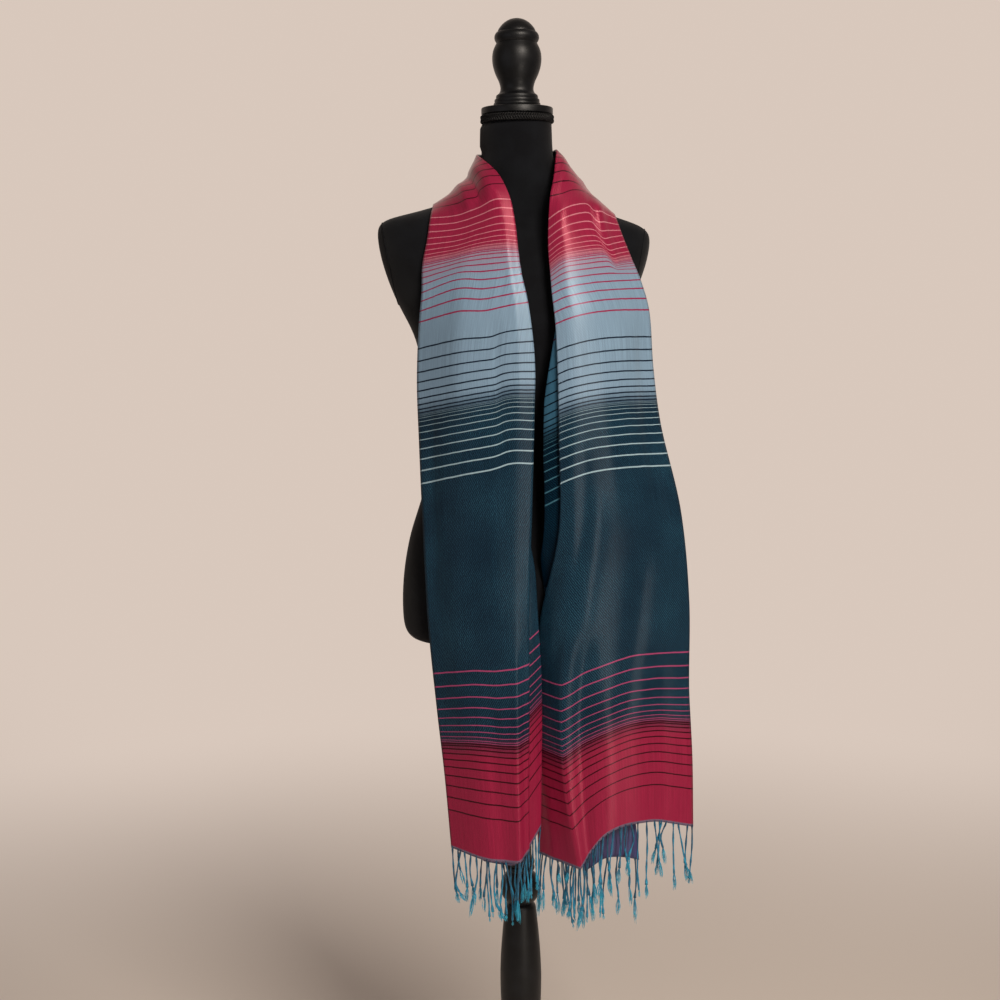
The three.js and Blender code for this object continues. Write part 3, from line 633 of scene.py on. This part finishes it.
def frontRow(row):  # one row's front layer from the fold to the outer edge, with one column on the crest
    keys = np.array([row[name] for name in ("fold", "crest", "rise", "middle", "edge")], float)
    steps = cloth["curveSteps"]
    facet = cloth["facetColumns"] + 1
    front = cloth["frontColumns"] + 1
    spans = len(keys) - 1
    whole = splineAt(keys, np.linspace(0, spans, spans * steps + 1))
    outer = splineAt(keys[1:], np.linspace(0, spans - 1, (spans - 1) * steps + 1))
    smooth = np.concatenate([evenly(whole[: steps + 1], facet), evenly(whole[steps:], front)[1:]])
    pressed = np.concatenate([evenly(keys[:2], facet), evenly(outer, front)[1:]])
    return smooth + (pressed - smooth) * row["sharp"]


def creaseOffsets(creases, along, across, width):  # how far the creases move the cloth outwards and down
    outwards = np.zeros_like(across)
    lowered = np.zeros_like(across)
    for (a0, c0), (a1, c1), depth, reach, drop in creases:
        t = (along - a0) / (a1 - a0)
        # a crease fades out at its ends, except where it runs out of the hem
        begun = t >= 0 if a0 == 0 else np.clip(t / creaseFade, 0, 1)
        fade = begun * np.clip((1 - t) / creaseFade, 0, 1)
        fade = fade * fade * (3 - 2 * fade)
        sideways = (across - (c0 + (c1 - c0) * t)) * width
        outwards += depth * fade * np.exp(-((sideways / reach) ** 2))
        beyond = np.exp(-np.clip(sideways, 0, None) / dropReach)
        lowered += drop * fade * (0.5 + 0.5 * np.tanh(sideways / (dropEdge * reach))) * beyond
    return outwards, lowered


def scarfPoints():
    table = leftRows + neckRows + rightRows
    rows = [dict(itertools.zip_longest(rowColumns, values, fillvalue=0)) for values in table]
    last = len(rows) - 1
    centre = len(leftRows) + len(neckRows) // 2
    keyRows = np.array([frontRow(row) for row in rows])
    columns = keyRows.shape[1]

    # where the rows of faces lie: evenly along the cloth, measured on the middle column
    steps = cloth["guideSteps"]
    at = np.linspace(0, last, last * steps + 1)
    run = distances(splineAt(keyRows[:, columns // 2], at))
    places = np.linspace(0, run[-1], int(run[-1] / cloth["rowStep"]) + 1)
    pattern = np.interp(places, run[::steps], [row["along"] for row in rows])
    at = np.interp(places, run, at)
    front = np.stack([splineAt(keyRows[:, c], at) for c in range(columns)], axis=1)

    # the front layer's own directions
    fromFold = distances(front)
    width = fromFold[:, -1:]
    across = unit(np.gradient(front, axis=1))
    along = unit(np.gradient(front, axis=0))
    inward = unit(np.cross(across, along))
    onLeft = (at < centre)[:, None]
    up = np.where(onLeft[:, :, None], along, -along)

    # its creases
    grid = (pattern[:, None], fromFold / width, width)
    sides = zip(creaseOffsets(leftCreases, *grid), creaseOffsets(rightCreases, *grid))
    outwards, lowered = (np.where(onLeft, left, right)[:, :, None] for left, right in sides)
    creased = front - inward * outwards - up * lowered

    # one value a row for the layers behind it
    names = ("second", "peek", "fourth", "spacing", "thirdSlip", "fourthSlip")
    second, peek, fourth, spacing, thirdSlip, fourthSlip = (
        splineAt([[row[name]] for row in rows], at)[:, 0] for name in names
    )
    bend = spacing / 2  # radius of the round of a fold
    facet = cloth["facetColumns"]
    for r in range(len(at)):  # the front layer ends where the round of its fold begins
        places = bend[r] + (fromFold[r, facet] - bend[r]) * np.arange(facet + 1) / facet
        creased[r, : facet + 1] = interpolated(places, fromFold[r], creased[r])

    strip = []  # for each column after the front layer, its place from the fold and its depth behind

    def addFold(x, depth, towards):
        for turn in math.pi * np.arange(1, cloth["foldColumns"]) / cloth["foldColumns"]:
            strip.append((x + towards * bend * math.sin(turn), depth + bend * (1 - math.cos(turn))))

    def addRun(fromX, toX, depth, count):
        for k in range(count + 1):
            strip.append((fromX + (toX - fromX) * k / count, depth))

    addFold(bend, 0, -1)
    addRun(bend, second - bend, spacing, cloth["secondColumns"])
    addFold(second - bend, spacing, 1)
    addRun(second - bend, bend - peek, 2 * spacing, cloth["thirdColumns"])
    thirdFold = len(strip)
    addFold(bend - peek, 2 * spacing, -1)
    addRun(bend - peek, fourth, 3 * spacing, cloth["fourthColumns"])

    layers = []
    tilt = np.where(at < centre, cloth["leftPeekTilt"], 0)
    level = cloth["levelShare"]
    for number, (x, depth) in enumerate(strip, 1):
        inside = np.clip(x, 0, width[:, 0])
        point, side, inwards, upwards = (
            np.array([interpolated(*row) for row in zip(inside, fromFold, grid)])
            for grid in (front, across, inward, up)
        )
        later = (number - thirdFold) / (len(strip) - thirdFold)
        later = max(0, (later - level) / (1 - level)) ** cloth["dropPower"]
        raised = thirdSlip * min(1, number / thirdFold) + (fourthSlip - thirdSlip) * later
        raised += tilt * np.clip(-x, 0, None)
        shifts = zip((side, inwards, upwards), (x - inside, depth, raised))
        layers.append(point + sum(unit(direction) * shift[:, None] for direction, shift in shifts))

    # the front layer from the outer edge to the fold, then the layers behind it
    points = np.concatenate([creased[:, ::-1], np.stack(layers, axis=1)], axis=1)
    return points * mm, distances(points) * mm, pattern * mm


# faces between the rows of a grid of vertices, which may close on themselves crosswise and lengthwise
def gridFaces(rows, columns, start=0, closedAcross=False, closedAlong=False):
    faces = []
    for r in range(rows if closedAlong else rows - 1):
        for c in range(columns if closedAcross else columns - 1):
            nextR, nextC = (r + 1) % rows, (c + 1) % columns
            corners = ((r, c), (r, nextC), (nextR, nextC), (nextR, c))
            faces.append([start + y * columns + x for y, x in corners])
    return faces


def makeScarf():
    points, distance, pattern = scarfPoints()
    rows, columns = distance.shape
    uvs = np.stack([distance, np.repeat(pattern[:, None], columns, axis=1)], axis=-1).reshape(-1, 2)
    scarf = addMesh("scarf", points.reshape(-1, 3).tolist(), gridFaces(rows, columns), "weave", uvs)
    giveMaterials(scarf, clothFace, clothBack, clothEdge, clothPaintedShade)
    third = cloth["facetColumns"] + cloth["frontColumns"] + 2 * cloth["foldColumns"] + cloth["secondColumns"]
    fourth = third + cloth["thirdColumns"] + cloth["foldColumns"]
    neckRow = np.argmax(pattern)
    # painted shade: faces of the right third layer high in the fold take the darker copy of the satin
    for face in scarf.data.polygons:
        r, c = divmod(face.index, columns - 1)
        if r > neckRow and pattern[r] > cloth["paintedShadeAbove"] * mm and third <= c < fourth:
            face.material_index = 3  # clothPaintedShade
    wall = scarf.modifiers.new("wall", "SOLIDIFY")
    wall.thickness = cloth["wall"] * mm
    wall.offset = 0
    wall.material_offset = 1
    wall.material_offset_rim = 2
    wall.use_even_offset = False
    applyModifiers(scarf)
    joinFrame(scarf, "scarf_cloth", "scarf_fall_left", "scarf_neck", "scarf_fall_right")
    return scarf, points


scarf, scarfGrid = makeScarf()
print("scarf made:", len(scarf.data.polygons), "faces")


# ---- fringe
fringe = {
    "cordRadius": 1.1,
    "cordSides": 6,
    "cordStep": 3.5,
    "cordSwell": 0.12,  # share by which a cord is thicker in places
    "swellPace": 40,  # radians of that swelling over a whole strand
    "plySwell": 0.22,  # share by which its two plies stand out
    "twistLength": 6,  # mm along the cord for one turn of its plies
    "knotSize": 1.5,  # of the cord's radius
    "rootBelow": 0.5,  # mm below the wall's middle line where a strand leaves the hem
    "rootAbove": 2.5,  # and how much higher it starts, inside the cloth
    "depthSway": 3,
    "brightening": 0.75,  # of the cord's colour on the way down
    "brightSpread": 0.15,
    "fibreRadius": 0.28,
    "fibreTaper": [1.4, 1.3, 1.2, 1.1, 1.1, 1.0, 0.9, 0.5],
    "fibreBright": (0.6, 1.05),
    # how far down the frayed end, out and along its curl each point of a fibre lies
    "fibrePoints": [(0.3, 0.8, 0), (0.65, 1, 1), (1, 0.7, -0.5)],
    "fibreOverlap": 0.05,  # of the frayed end, by which its fibres start inside the cord
    "fibreReach": (0.75, 1.05),
    "fibreSpread": (0.6, 1),
    "fibreCurl": 1.5,
    "brush": {"fibres": 13, "spread": 2.6},
    "stub": {"fibres": 5, "spread": 1, "length": 8},  # of a strand that is frayed over no more than stubShare
    "stubShare": 0.12,
    "longest": 92,
    "hidden": {"length": (0.72, 0.98), "lean": 6, "stray": 2, "frayed": [0.08, 0.3, 0.4], "step": (0.8, 1.2)},
}
# Strands of the front layers. at is mm from the outer edge along the hem. sway gives how far the strand has
# gone sideways a third and two thirds of the way down and at its end, positive to the viewer's right. frayed
# is the share of the length that has come untwisted.
leftStrands = [
    (2, (1, 3, 8), 76, 0.2), (11, (1, 4, 8), 47, 0.45), (15, (-4, -6, 7), 70, 0.2),
    (22, (2, 3, 2), 69, 0.3), (32, (-1, 3, 5), 70, 0.4), (41, (1, -5, -9), 82, 0.4),
    (57, (0, 2, 3), 82, 0.05), (70, (-3, -1, 13), 83, 0.2), (83, (5, 12, 16), 81, 0.35),
    (102, (-1, -2, 0), 82, 0.4), (112, (-5, -10, -9), 68, 0.2),
]
rightStrands = [
    (2, (0, -2, -4), 80, 0.1), (10, (-2, -3, 0), 79, 0.35), (24, (5, 10, 19), 81, 0.3),
    (32, (0, 1, 2), 91, 0.25), (43, (-7, -3, -1), 58, 0.4), (50, (-4, -8, -12), 58, 0.35),
    (53, (0, -2, -4), 74, 0.2), (61, (3, 6, 10), 76, 0.3), (74, (1, 0, 1), 106, 0.18),
    (87, (0, 0, 3), 102, 0.1), (96, (3, -3, -6), 60, 0.3), (104, (-2, 2, 4), 70, 0.3),
    (113, (2, 0, -2), 78, 0.3), (122, (-3, -6, -4), 84, 0.35), (131, (0, 3, 5), 86, 0.3),
    (139, (-2, -4, -7), 80, 0.25), (147, (1, 3, 5), 88, 0.35), (154, (-3, -2, 1), 82, 0.4),
    (162, (2, 1, -1), 80, 0.3), (170, (-4, 0, 5), 84, 0.35), (178, (1, 1, 1), 88, 0.1),
    (186, (1, -1, -7), 82, 0.4), (194, (1, 3, -5), 84, 0.4), (204, (-2, -5, -8), 70, 0.15),
    (214, (-1, 0, -2), 24, 0.6), (222, (3, 8, 13), 88, 0.05), (232, (2, 1, 3), 32, 0.5),
    (240, (-2, 2, 5), 74, 0.3),
]


def tubeRings(path, radii, sides, twist):  # rings of points round a path, two lobes that turn with the twist
    tangents = unit(np.gradient(path, axis=0))
    angles = 2 * math.pi * np.arange(sides)[:, None] / sides
    side = np.array([1.0, 0.0, 0.0])
    rings = []
    for point, tangent, radius, turn in zip(path, tangents, radii, twist):
        side = unit(side - tangent * side.dot(tangent))
        reach = radius * (1 + fringe["plySwell"] * np.cos(2 * (angles - turn)))
        rings.append(point + (side * np.cos(angles) + np.cross(tangent, side) * np.sin(angles)) * reach)
    return np.array(rings)


def addTube(mesh, rings, bright):
    count, sides = rings.shape[:2]
    start = len(mesh["vertices"])
    end = start + (count - 1) * sides
    mesh["vertices"] += (rings.reshape(-1, 3) * mm).tolist()
    mesh["uvs"] += [(0.5, level) for level in bright for _ in range(sides)]
    mesh["faces"] += gridFaces(count, sides, start, closedAcross=True)
    mesh["faces"] += [list(range(start, start + sides))[::-1], list(range(end, end + sides))]


def addStrand(mesh, root, sway, length, frayed, chance):
    depthSway = chance.uniform(-fringe["depthSway"], fringe["depthSway"])
    keys = [root + np.array([0, 0, fringe["rootAbove"]])]
    for thirds, shift in enumerate((0, *sway)):
        keys.append(root + np.array([shift, depthSway * thirds / 3, -length / 3 * thirds]))
    twisted = 1 - frayed
    cordEnd = 1 + 3 * twisted
    steps = max(4, int(length * twisted / fringe["cordStep"]))
    path = splineAt(keys, np.linspace(0, cordEnd, steps + 1))
    down = np.linspace(0, twisted, steps + 1)
    twist = 2 * math.pi * length * down / fringe["twistLength"]
    swell = np.sin(down * fringe["swellPace"] + chance.uniform(0, 6))
    radii = fringe["cordRadius"] * (1 + fringe["cordSwell"] * swell)
    radii[-2:] *= fringe["knotSize"]  # the knot that stops the twist
    bright = down * fringe["brightening"] + chance.uniform(-fringe["brightSpread"], fringe["brightSpread"])
    addTube(mesh, tubeRings(path, radii, fringe["cordSides"], twist), bright)

    tip = path[-1]
    fall = keys[-1] - tip
    tail = fringe["brush"]
    if frayed <= fringe["stubShare"]:
        tail = fringe["stub"]
        fall[2] = -max(tail["length"], length * frayed)
    radii = fringe["fibreRadius"] * np.array(fringe["fibreTaper"])
    curliest = fringe["fibreCurl"]
    for _ in range(tail["fibres"]):
        angle = chance.uniform(0, 2 * math.pi)
        spread = chance.uniform(*fringe["fibreSpread"]) * tail["spread"]
        out = np.array([math.cos(angle), 0.7 * math.sin(angle), 0]) * spread
        reach = chance.uniform(*fringe["fibreReach"])
        curl = np.array([chance.uniform(-curliest, curliest), chance.uniform(-curliest, curliest), 0])
        fibre = [tip - fall * fringe["fibreOverlap"]]
        for downwards, outwards, curled in fringe["fibrePoints"]:
            fibre.append(tip + fall * downwards * reach + out * outwards + curl * curled)
        path = splineAt(fibre, np.linspace(0, 3, len(radii)))
        rings = tubeRings(path, radii, 3, np.zeros(len(radii)))
        addTube(mesh, rings, np.linspace(*fringe["fibreBright"], len(radii)))


def makeFringe(name, node, hem, strands, hiddenSpacing, seed):
    chance = random.Random(seed)
    mesh = {"vertices": [], "faces": [], "uvs": []}
    line = hem / mm
    run = distances(line)
    hidden = fringe["hidden"]
    lean, stray = hidden["lean"], hidden["stray"]

    def addAt(place, *strand):
        root = interpolated(place, run, line) - np.array([0, 0, fringe["rootBelow"]])
        addStrand(mesh, root, *strand, chance)

    for strand in strands:
        addAt(*strand)
    place = strands[-1][0] + hiddenSpacing
    while place < run[-1]:
        length = fringe["longest"] * chance.uniform(*hidden["length"])
        shift = chance.uniform(-lean, lean)
        sway = (*(shift * part + chance.uniform(-stray, stray) for part in (0.4, 0.8)), shift)
        addAt(place, sway, length, chance.choice(hidden["frayed"]))
        place += hiddenSpacing * chance.uniform(*hidden["step"])
    piece = addMesh(name, mesh["vertices"], mesh["faces"], "strand", mesh["uvs"])
    editAll()
    bpy.ops.mesh.normals_make_consistent(inside=False)
    editDone()
    giveMaterials(piece, yarn)
    joinFrame(piece, "fringe_yarn", node)
    return piece


leftFringe = makeFringe("leftFringe", "fringe_left", scarfGrid[0], leftStrands, 19, 3)
rightFringe = makeFringe("rightFringe", "fringe_right", scarfGrid[-1], rightStrands, 12, 8)
print("fringe made:", len(leftFringe.data.polygons) + len(rightFringe.data.polygons), "faces")


# ---- dress form
form = {
    "neckCentre": 1.5,
    "neckRadius": 47.2,
    "armholes": [  # where a plane cuts the shoulder off, and the way the plane faces
        {"name": "armholeSeamLeft", "place": (-177, 0, 1346), "facing": (1, 0, 0.19)},
        {"name": "armholeSeamRight", "place": (170, 0, 1346), "facing": (-1, 0, 0.19)},
    ],
    "seamRadius": 0.9,
    "quadAngles": (40, 60),  # up to which two triangles of the torso are joined
    "finerLevels": 2,
    # height, and how much fuller the neck is there on the viewer's left, above the scarf
    "neckPadding": [(1455, 0), (1464, 3.4), (1478, 3.6), (1490, 5.6)],
}


def editCopy(node, name):  # the frame's own mesh under a new name, doubles merged, selected in edit mode
    piece = addPiece(name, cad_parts[node].data.copy())
    editAll()
    bpy.ops.mesh.remove_doubles(threshold=0.01 * mm)
    bpy.ops.mesh.select_all(action="SELECT")
    return piece


def makeTorso():
    torso = editCopy("form_torso", "torsoJersey")
    bend, skew = (math.radians(angle) for angle in form["quadAngles"])
    bpy.ops.mesh.tris_convert_to_quads(face_threshold=bend, shape_threshold=skew)
    editDone()
    finer = torso.modifiers.new("finer", "SUBSURF")
    finer.levels = form["finerLevels"]
    finer.render_levels = form["finerLevels"]
    applyModifiers(torso)
    heights, paddings = zip(*form["neckPadding"])
    for vertex in torso.data.vertices:
        padding = np.interp(vertex.co.z / mm, heights, paddings)
        sideways = min(1, max(0, (form["neckCentre"] - vertex.co.x / mm) / form["neckRadius"]))
        vertex.co.x -= padding * mm * sideways
    bpy.ops.object.shade_smooth()
    giveMaterials(torso, jersey)
    joinFrame(torso, "form_jersey", "form_torso")
    return torso


def makeArmholeSeam(torso, seam):  # a thin rolled seam where the plane meets the form
    addPiece(seam["name"], torso.data.copy())
    editAll()
    bpy.ops.mesh.bisect(
        plane_co=Vector(seam["place"]) * mm, plane_no=Vector(seam["facing"]).normalized(),
        clear_inner=True, clear_outer=True,
    )
    editDone()
    bpy.ops.object.convert(target="CURVE")
    curve = bpy.context.object.data
    curve.bevel_depth = form["seamRadius"] * mm
    curve.bevel_resolution = 1
    bpy.ops.object.convert(target="MESH")
    piece = bpy.context.object
    bpy.ops.object.shade_smooth()
    giveMaterials(piece, jersey)
    joinFrame(piece, "form_jersey")


torso = makeTorso()
for seam in form["armholes"]:
    makeArmholeSeam(torso, seam)
print("form made:", len(torso.data.polygons), "faces")


# ---- neck braid
braid = {
    "middle": 1498.6,
    "height": 4.1,  # of each cord's wave, up and down
    "depth": 0.7,  # by which the cords pass over and under each other
    "waves": 28,
    "waveSteps": 10,
    "cords": 3,
    "cordRadius": 1.45,
    "cordSides": 5,
}


def makeBraid():
    centre = np.array([form["neckCentre"], 0, 0])
    sides = braid["cordSides"]
    angles = 2 * math.pi * np.arange(sides)[:, None] / sides
    steps = braid["waves"] * braid["waveSteps"]
    turn = 2 * math.pi * np.arange(steps) / steps
    vertices = []
    faces = []
    for cord in range(braid["cords"]):
        wave = turn * braid["waves"] + 2 * math.pi * cord / braid["cords"]
        radius = form["neckRadius"] + braid["depth"] * np.sin(2 * wave)
        height = braid["middle"] + braid["height"] * np.sin(wave)
        path = centre + np.stack([radius * np.cos(turn), radius * np.sin(turn), height], axis=1)
        tangents = unit(np.roll(path, -1, axis=0) - np.roll(path, 1, axis=0))
        faces += gridFaces(steps, sides, len(vertices), closedAcross=True, closedAlong=True)
        for point, tangent in zip(path, tangents):
            outward = (point - centre) * (1, 1, 0)
            outward = unit(outward - tangent * outward.dot(tangent))
            other = np.cross(tangent, outward)
            ring = point + (outward * np.cos(angles) + other * np.sin(angles)) * braid["cordRadius"]
            vertices += (ring * mm).tolist()
    piece = addMesh("neckBraid", vertices, faces)
    giveMaterials(piece, gimp)
    joinFrame(piece, "braid", "neck_tape")


makeBraid()
print("braid made")


# ---- turned wood
# Radius and height in mm. Each list after the first is one smooth curve that starts where the list before
# it ends, and corners lie between them.
capStretches = [
    [(46.8, 1504.3)],
    [(47.8, 1505.3)],
    [(47.8, 1512)],
    [(47.3, 1513.2), (46.3, 1513.7)],
    [(40, 1514.6), (32.5, 1515.5)],
]
finialStretches = [
    [(31, 1515.8)],
    [(31.4, 1517.6), (31, 1519.5)],
    [(29.8, 1520.4)],
    [(30.2, 1522.6), (29.7, 1524.6)],
    [(27.8, 1525.6)],
    [(28.1, 1527.8), (27.4, 1530)],
    [(23.6, 1533), (22, 1538), (23.6, 1546.5), (28.4, 1557), (31.8, 1568), (32.8, 1578),
     (31.4, 1588), (26.9, 1598)],
    [(28.8, 1600.6), (29.7, 1604.5), (28.9, 1608.8), (26.4, 1611.8)],
    [(25.2, 1612.4)],
    [(24.6, 1614.6), (22.2, 1618.4), (16.8, 1624), (9, 1628.4), (2.5, 1629.9)],
]
poleStretches = [
    [(20, 70.4)],
    [(25, 73), (30, 79), (33, 88)],
    [(33, 190)],
    [(32, 192), (30, 193)],
    [(31.4, 198), (30, 204)],
    [(23, 207.5)],
    [(22.6, 211), (23.2, 216), (26.5, 240), (28.6, 272), (29.2, 305), (28.4, 332), (26.7, 358),
     (23.5, 392), (21.7, 408)],
    [(20.4, 411), (18, 412.6)],
    [(17, 413.4)],
    [(22, 418.4), (26.3, 426), (27.9, 436.5), (26.3, 447), (22, 454.6), (17.2, 459.4)],
    [(17.5, 461)],
    [(20, 462.6), (20.4, 465), (20, 467.4), (17.5, 469)],
    [(20, 470.6), (20.4, 473.4), (20, 476.4), (16.6, 479)],
    [(16, 483)],
    [(16, 783)],
    [(40.5, 785.6)],
    [(42, 787.5)],
    [(42, 796.6)],
]
turning = {"segments": 72, "spacing": 3.5, "sharpAngle": 32}


def smoothProfile(stretches):
    profile = [stretches[0][0]]
    for before, stretch in zip(stretches, stretches[1:]):
        keys = np.array([before[-1], *stretch], float)
        spans = len(stretch)
        count = 1 if spans == 1 else max(spans, int(distances(keys)[-1] / turning["spacing"]) + 2)
        profile += [tuple(point) for point in splineAt(keys, np.linspace(0, spans, count + 1))[1:]]
    return profile


def turnPiece(name, node, centre, stretches):
    profile = smoothProfile(stretches)
    deselectAll()
    radius, height = profile[0]
    bpy.ops.mesh.primitive_circle_add(
        vertices=turning["segments"], radius=radius * mm, fill_type="NGON",
        location=(centre * mm, 0, height * mm),
    )
    piece = bpy.context.object
    piece.name = name
    editAll()
    for nextRadius, nextHeight in profile[1:]:
        bpy.ops.mesh.extrude_region_move(
            TRANSFORM_OT_translate={"value": (0, 0, (nextHeight - height) * mm)}
        )
        ratio = nextRadius / radius
        bpy.ops.transform.resize(value=(ratio, ratio, 1), center_override=(centre * mm, 0, nextHeight * mm))
        radius, height = nextRadius, nextHeight
    bpy.ops.mesh.select_all(action="SELECT")
    bpy.ops.mesh.normals_make_consistent(inside=False)
    editDone()
    bpy.ops.object.transform_apply(location=True, rotation=True, scale=True)
    bpy.ops.object.shade_smooth_by_angle(angle=math.radians(turning["sharpAngle"]))
    giveMaterials(piece, paintedWood)
    joinFrame(piece, "painted_wood", node)


turnPiece("neckCap", "neck_cap", form["neckCentre"], capStretches)
turnPiece("turnedFinial", "finial", form["neckCentre"], finialStretches)
turnPiece("turnedPole", "pole", 0, poleStretches)
print("turned pieces made")


# ---- legs
legs = {"flatAngle": 1, "roundedFrom": 50, "roundWidth": 2.5, "roundSegments": 3, "sharpAngle": 35}


def makeLeg(number):
    leg = editCopy(f"leg_{number}", f"standLeg{number}")
    bpy.ops.mesh.dissolve_limited(angle_limit=math.radians(legs["flatAngle"]))
    editDone()
    rounded = leg.modifiers.new("rounded", "BEVEL")
    rounded.width = legs["roundWidth"] * mm
    rounded.segments = legs["roundSegments"]
    rounded.limit_method = "ANGLE"
    rounded.angle_limit = math.radians(legs["roundedFrom"])
    applyModifiers(leg)
    bpy.ops.object.shade_smooth_by_angle(angle=math.radians(legs["sharpAngle"]))
    giveMaterials(leg, paintedWood)
    joinFrame(leg, "painted_wood", f"leg_{number}")


for number in (1, 2, 3):
    makeLeg(number)
print("legs made")


# ---- floor and lights
room = {
    "floorColour": "#e2d8cf",
    "airColour": "#efddd0",
    "airInFront": 0.2,  # strength of the soft light from the viewer's side
    "airBehind": 0.8,  # and from behind the form
    "airTurn": (0.2, 0.93),  # how far towards the back it starts and stops growing, 1 being straight back
    "floorSize": 600,
    "floorFade": (0.5, 2.6),  # metres from the form over which the floor melts into the air
    "litPlace": (0, 0, 1.05),  # what the lamps point at
}
lamps = [
    {"name": "windowLight", "place": (1.2, -2.55, 3.0), "size": 1.2, "power": 106, "colour": "#fff4e8"},
    {"name": "lowWindow", "place": (1.0, -2.3, 0.45), "size": 0.5, "power": 12, "colour": "#fff4e8"},
    {"name": "roomFill", "place": (-2.4, -2.0, 1.6), "size": 2.2, "power": 6, "colour": "#eef2ff"},
]


def airStrength(add, towardsBack):  # brighter behind the form than on the viewer's side
    begin, end = room["airTurn"]
    return add(
        "MapRange",
        {"Value": towardsBack, "From Min": begin, "From Max": end,
         "To Min": room["airInFront"], "To Max": room["airBehind"]},
        interpolation_type="SMOOTHSTEP",
    )


def makeFloor():  # painted boards near the form, and farther off no more than the haze of the room
    deselectAll()
    bpy.ops.mesh.primitive_plane_add(size=room["floorSize"], location=(0, 0, 0))
    floor = bpy.context.object
    floor.name = "floor"
    material, add, shader = newMaterial("paleFloor")
    feed(shader, {"Base Color": room["floorColour"], "Roughness": 0.9})
    place = add("TexCoord").outputs["Object"]
    away = add("VectorMath", {0: place}, operation="LENGTH")
    direction = add("VectorMath", {0: place}, operation="NORMALIZE")
    split = add("SeparateXYZ", {0: direction})
    haze = add("Emission", {"Color": room["airColour"], "Strength": airStrength(add, split.outputs[1])})
    near, far = room["floorFade"]
    fade = add(
        "MapRange", {"Value": away.outputs["Value"], "From Min": near, "From Max": far},
        interpolation_type="SMOOTHSTEP",
    )
    both = add("MixShader", {0: fade, 1: shader, 2: haze})
    feed(material.node_tree.nodes["Material Output"], {"Surface": both})
    giveMaterials(floor, material)


def makeAir():
    world = bpy.data.worlds.new("air")
    world.use_nodes = True
    add = functools.partial(addNode, world.node_tree)
    towards = add("TexCoord").outputs["Generated"]
    direction = add("SeparateXYZ", {0: towards})
    background = world.node_tree.nodes["Background"]
    feed(background, {0: room["airColour"], 1: airStrength(add, direction.outputs[1])})
    bpy.context.scene.world = world


def makeLamp(lamp):
    bpy.ops.object.light_add(type="AREA", location=lamp["place"])
    light = bpy.context.object
    light.name = lamp["name"]
    light.data.size = lamp["size"]
    light.data.energy = lamp["power"]
    light.data.color = linearColour(lamp["colour"])[:3]
    towards = Vector(room["litPlace"]) - Vector(lamp["place"])
    light.rotation_euler = towards.to_track_quat("-Z", "Y").to_euler()


makeFloor()
makeAir()
for lamp in lamps:
    makeLamp(lamp)
bpy.context.scene.view_settings.view_transform = "Standard"
print("floor and lights placed")
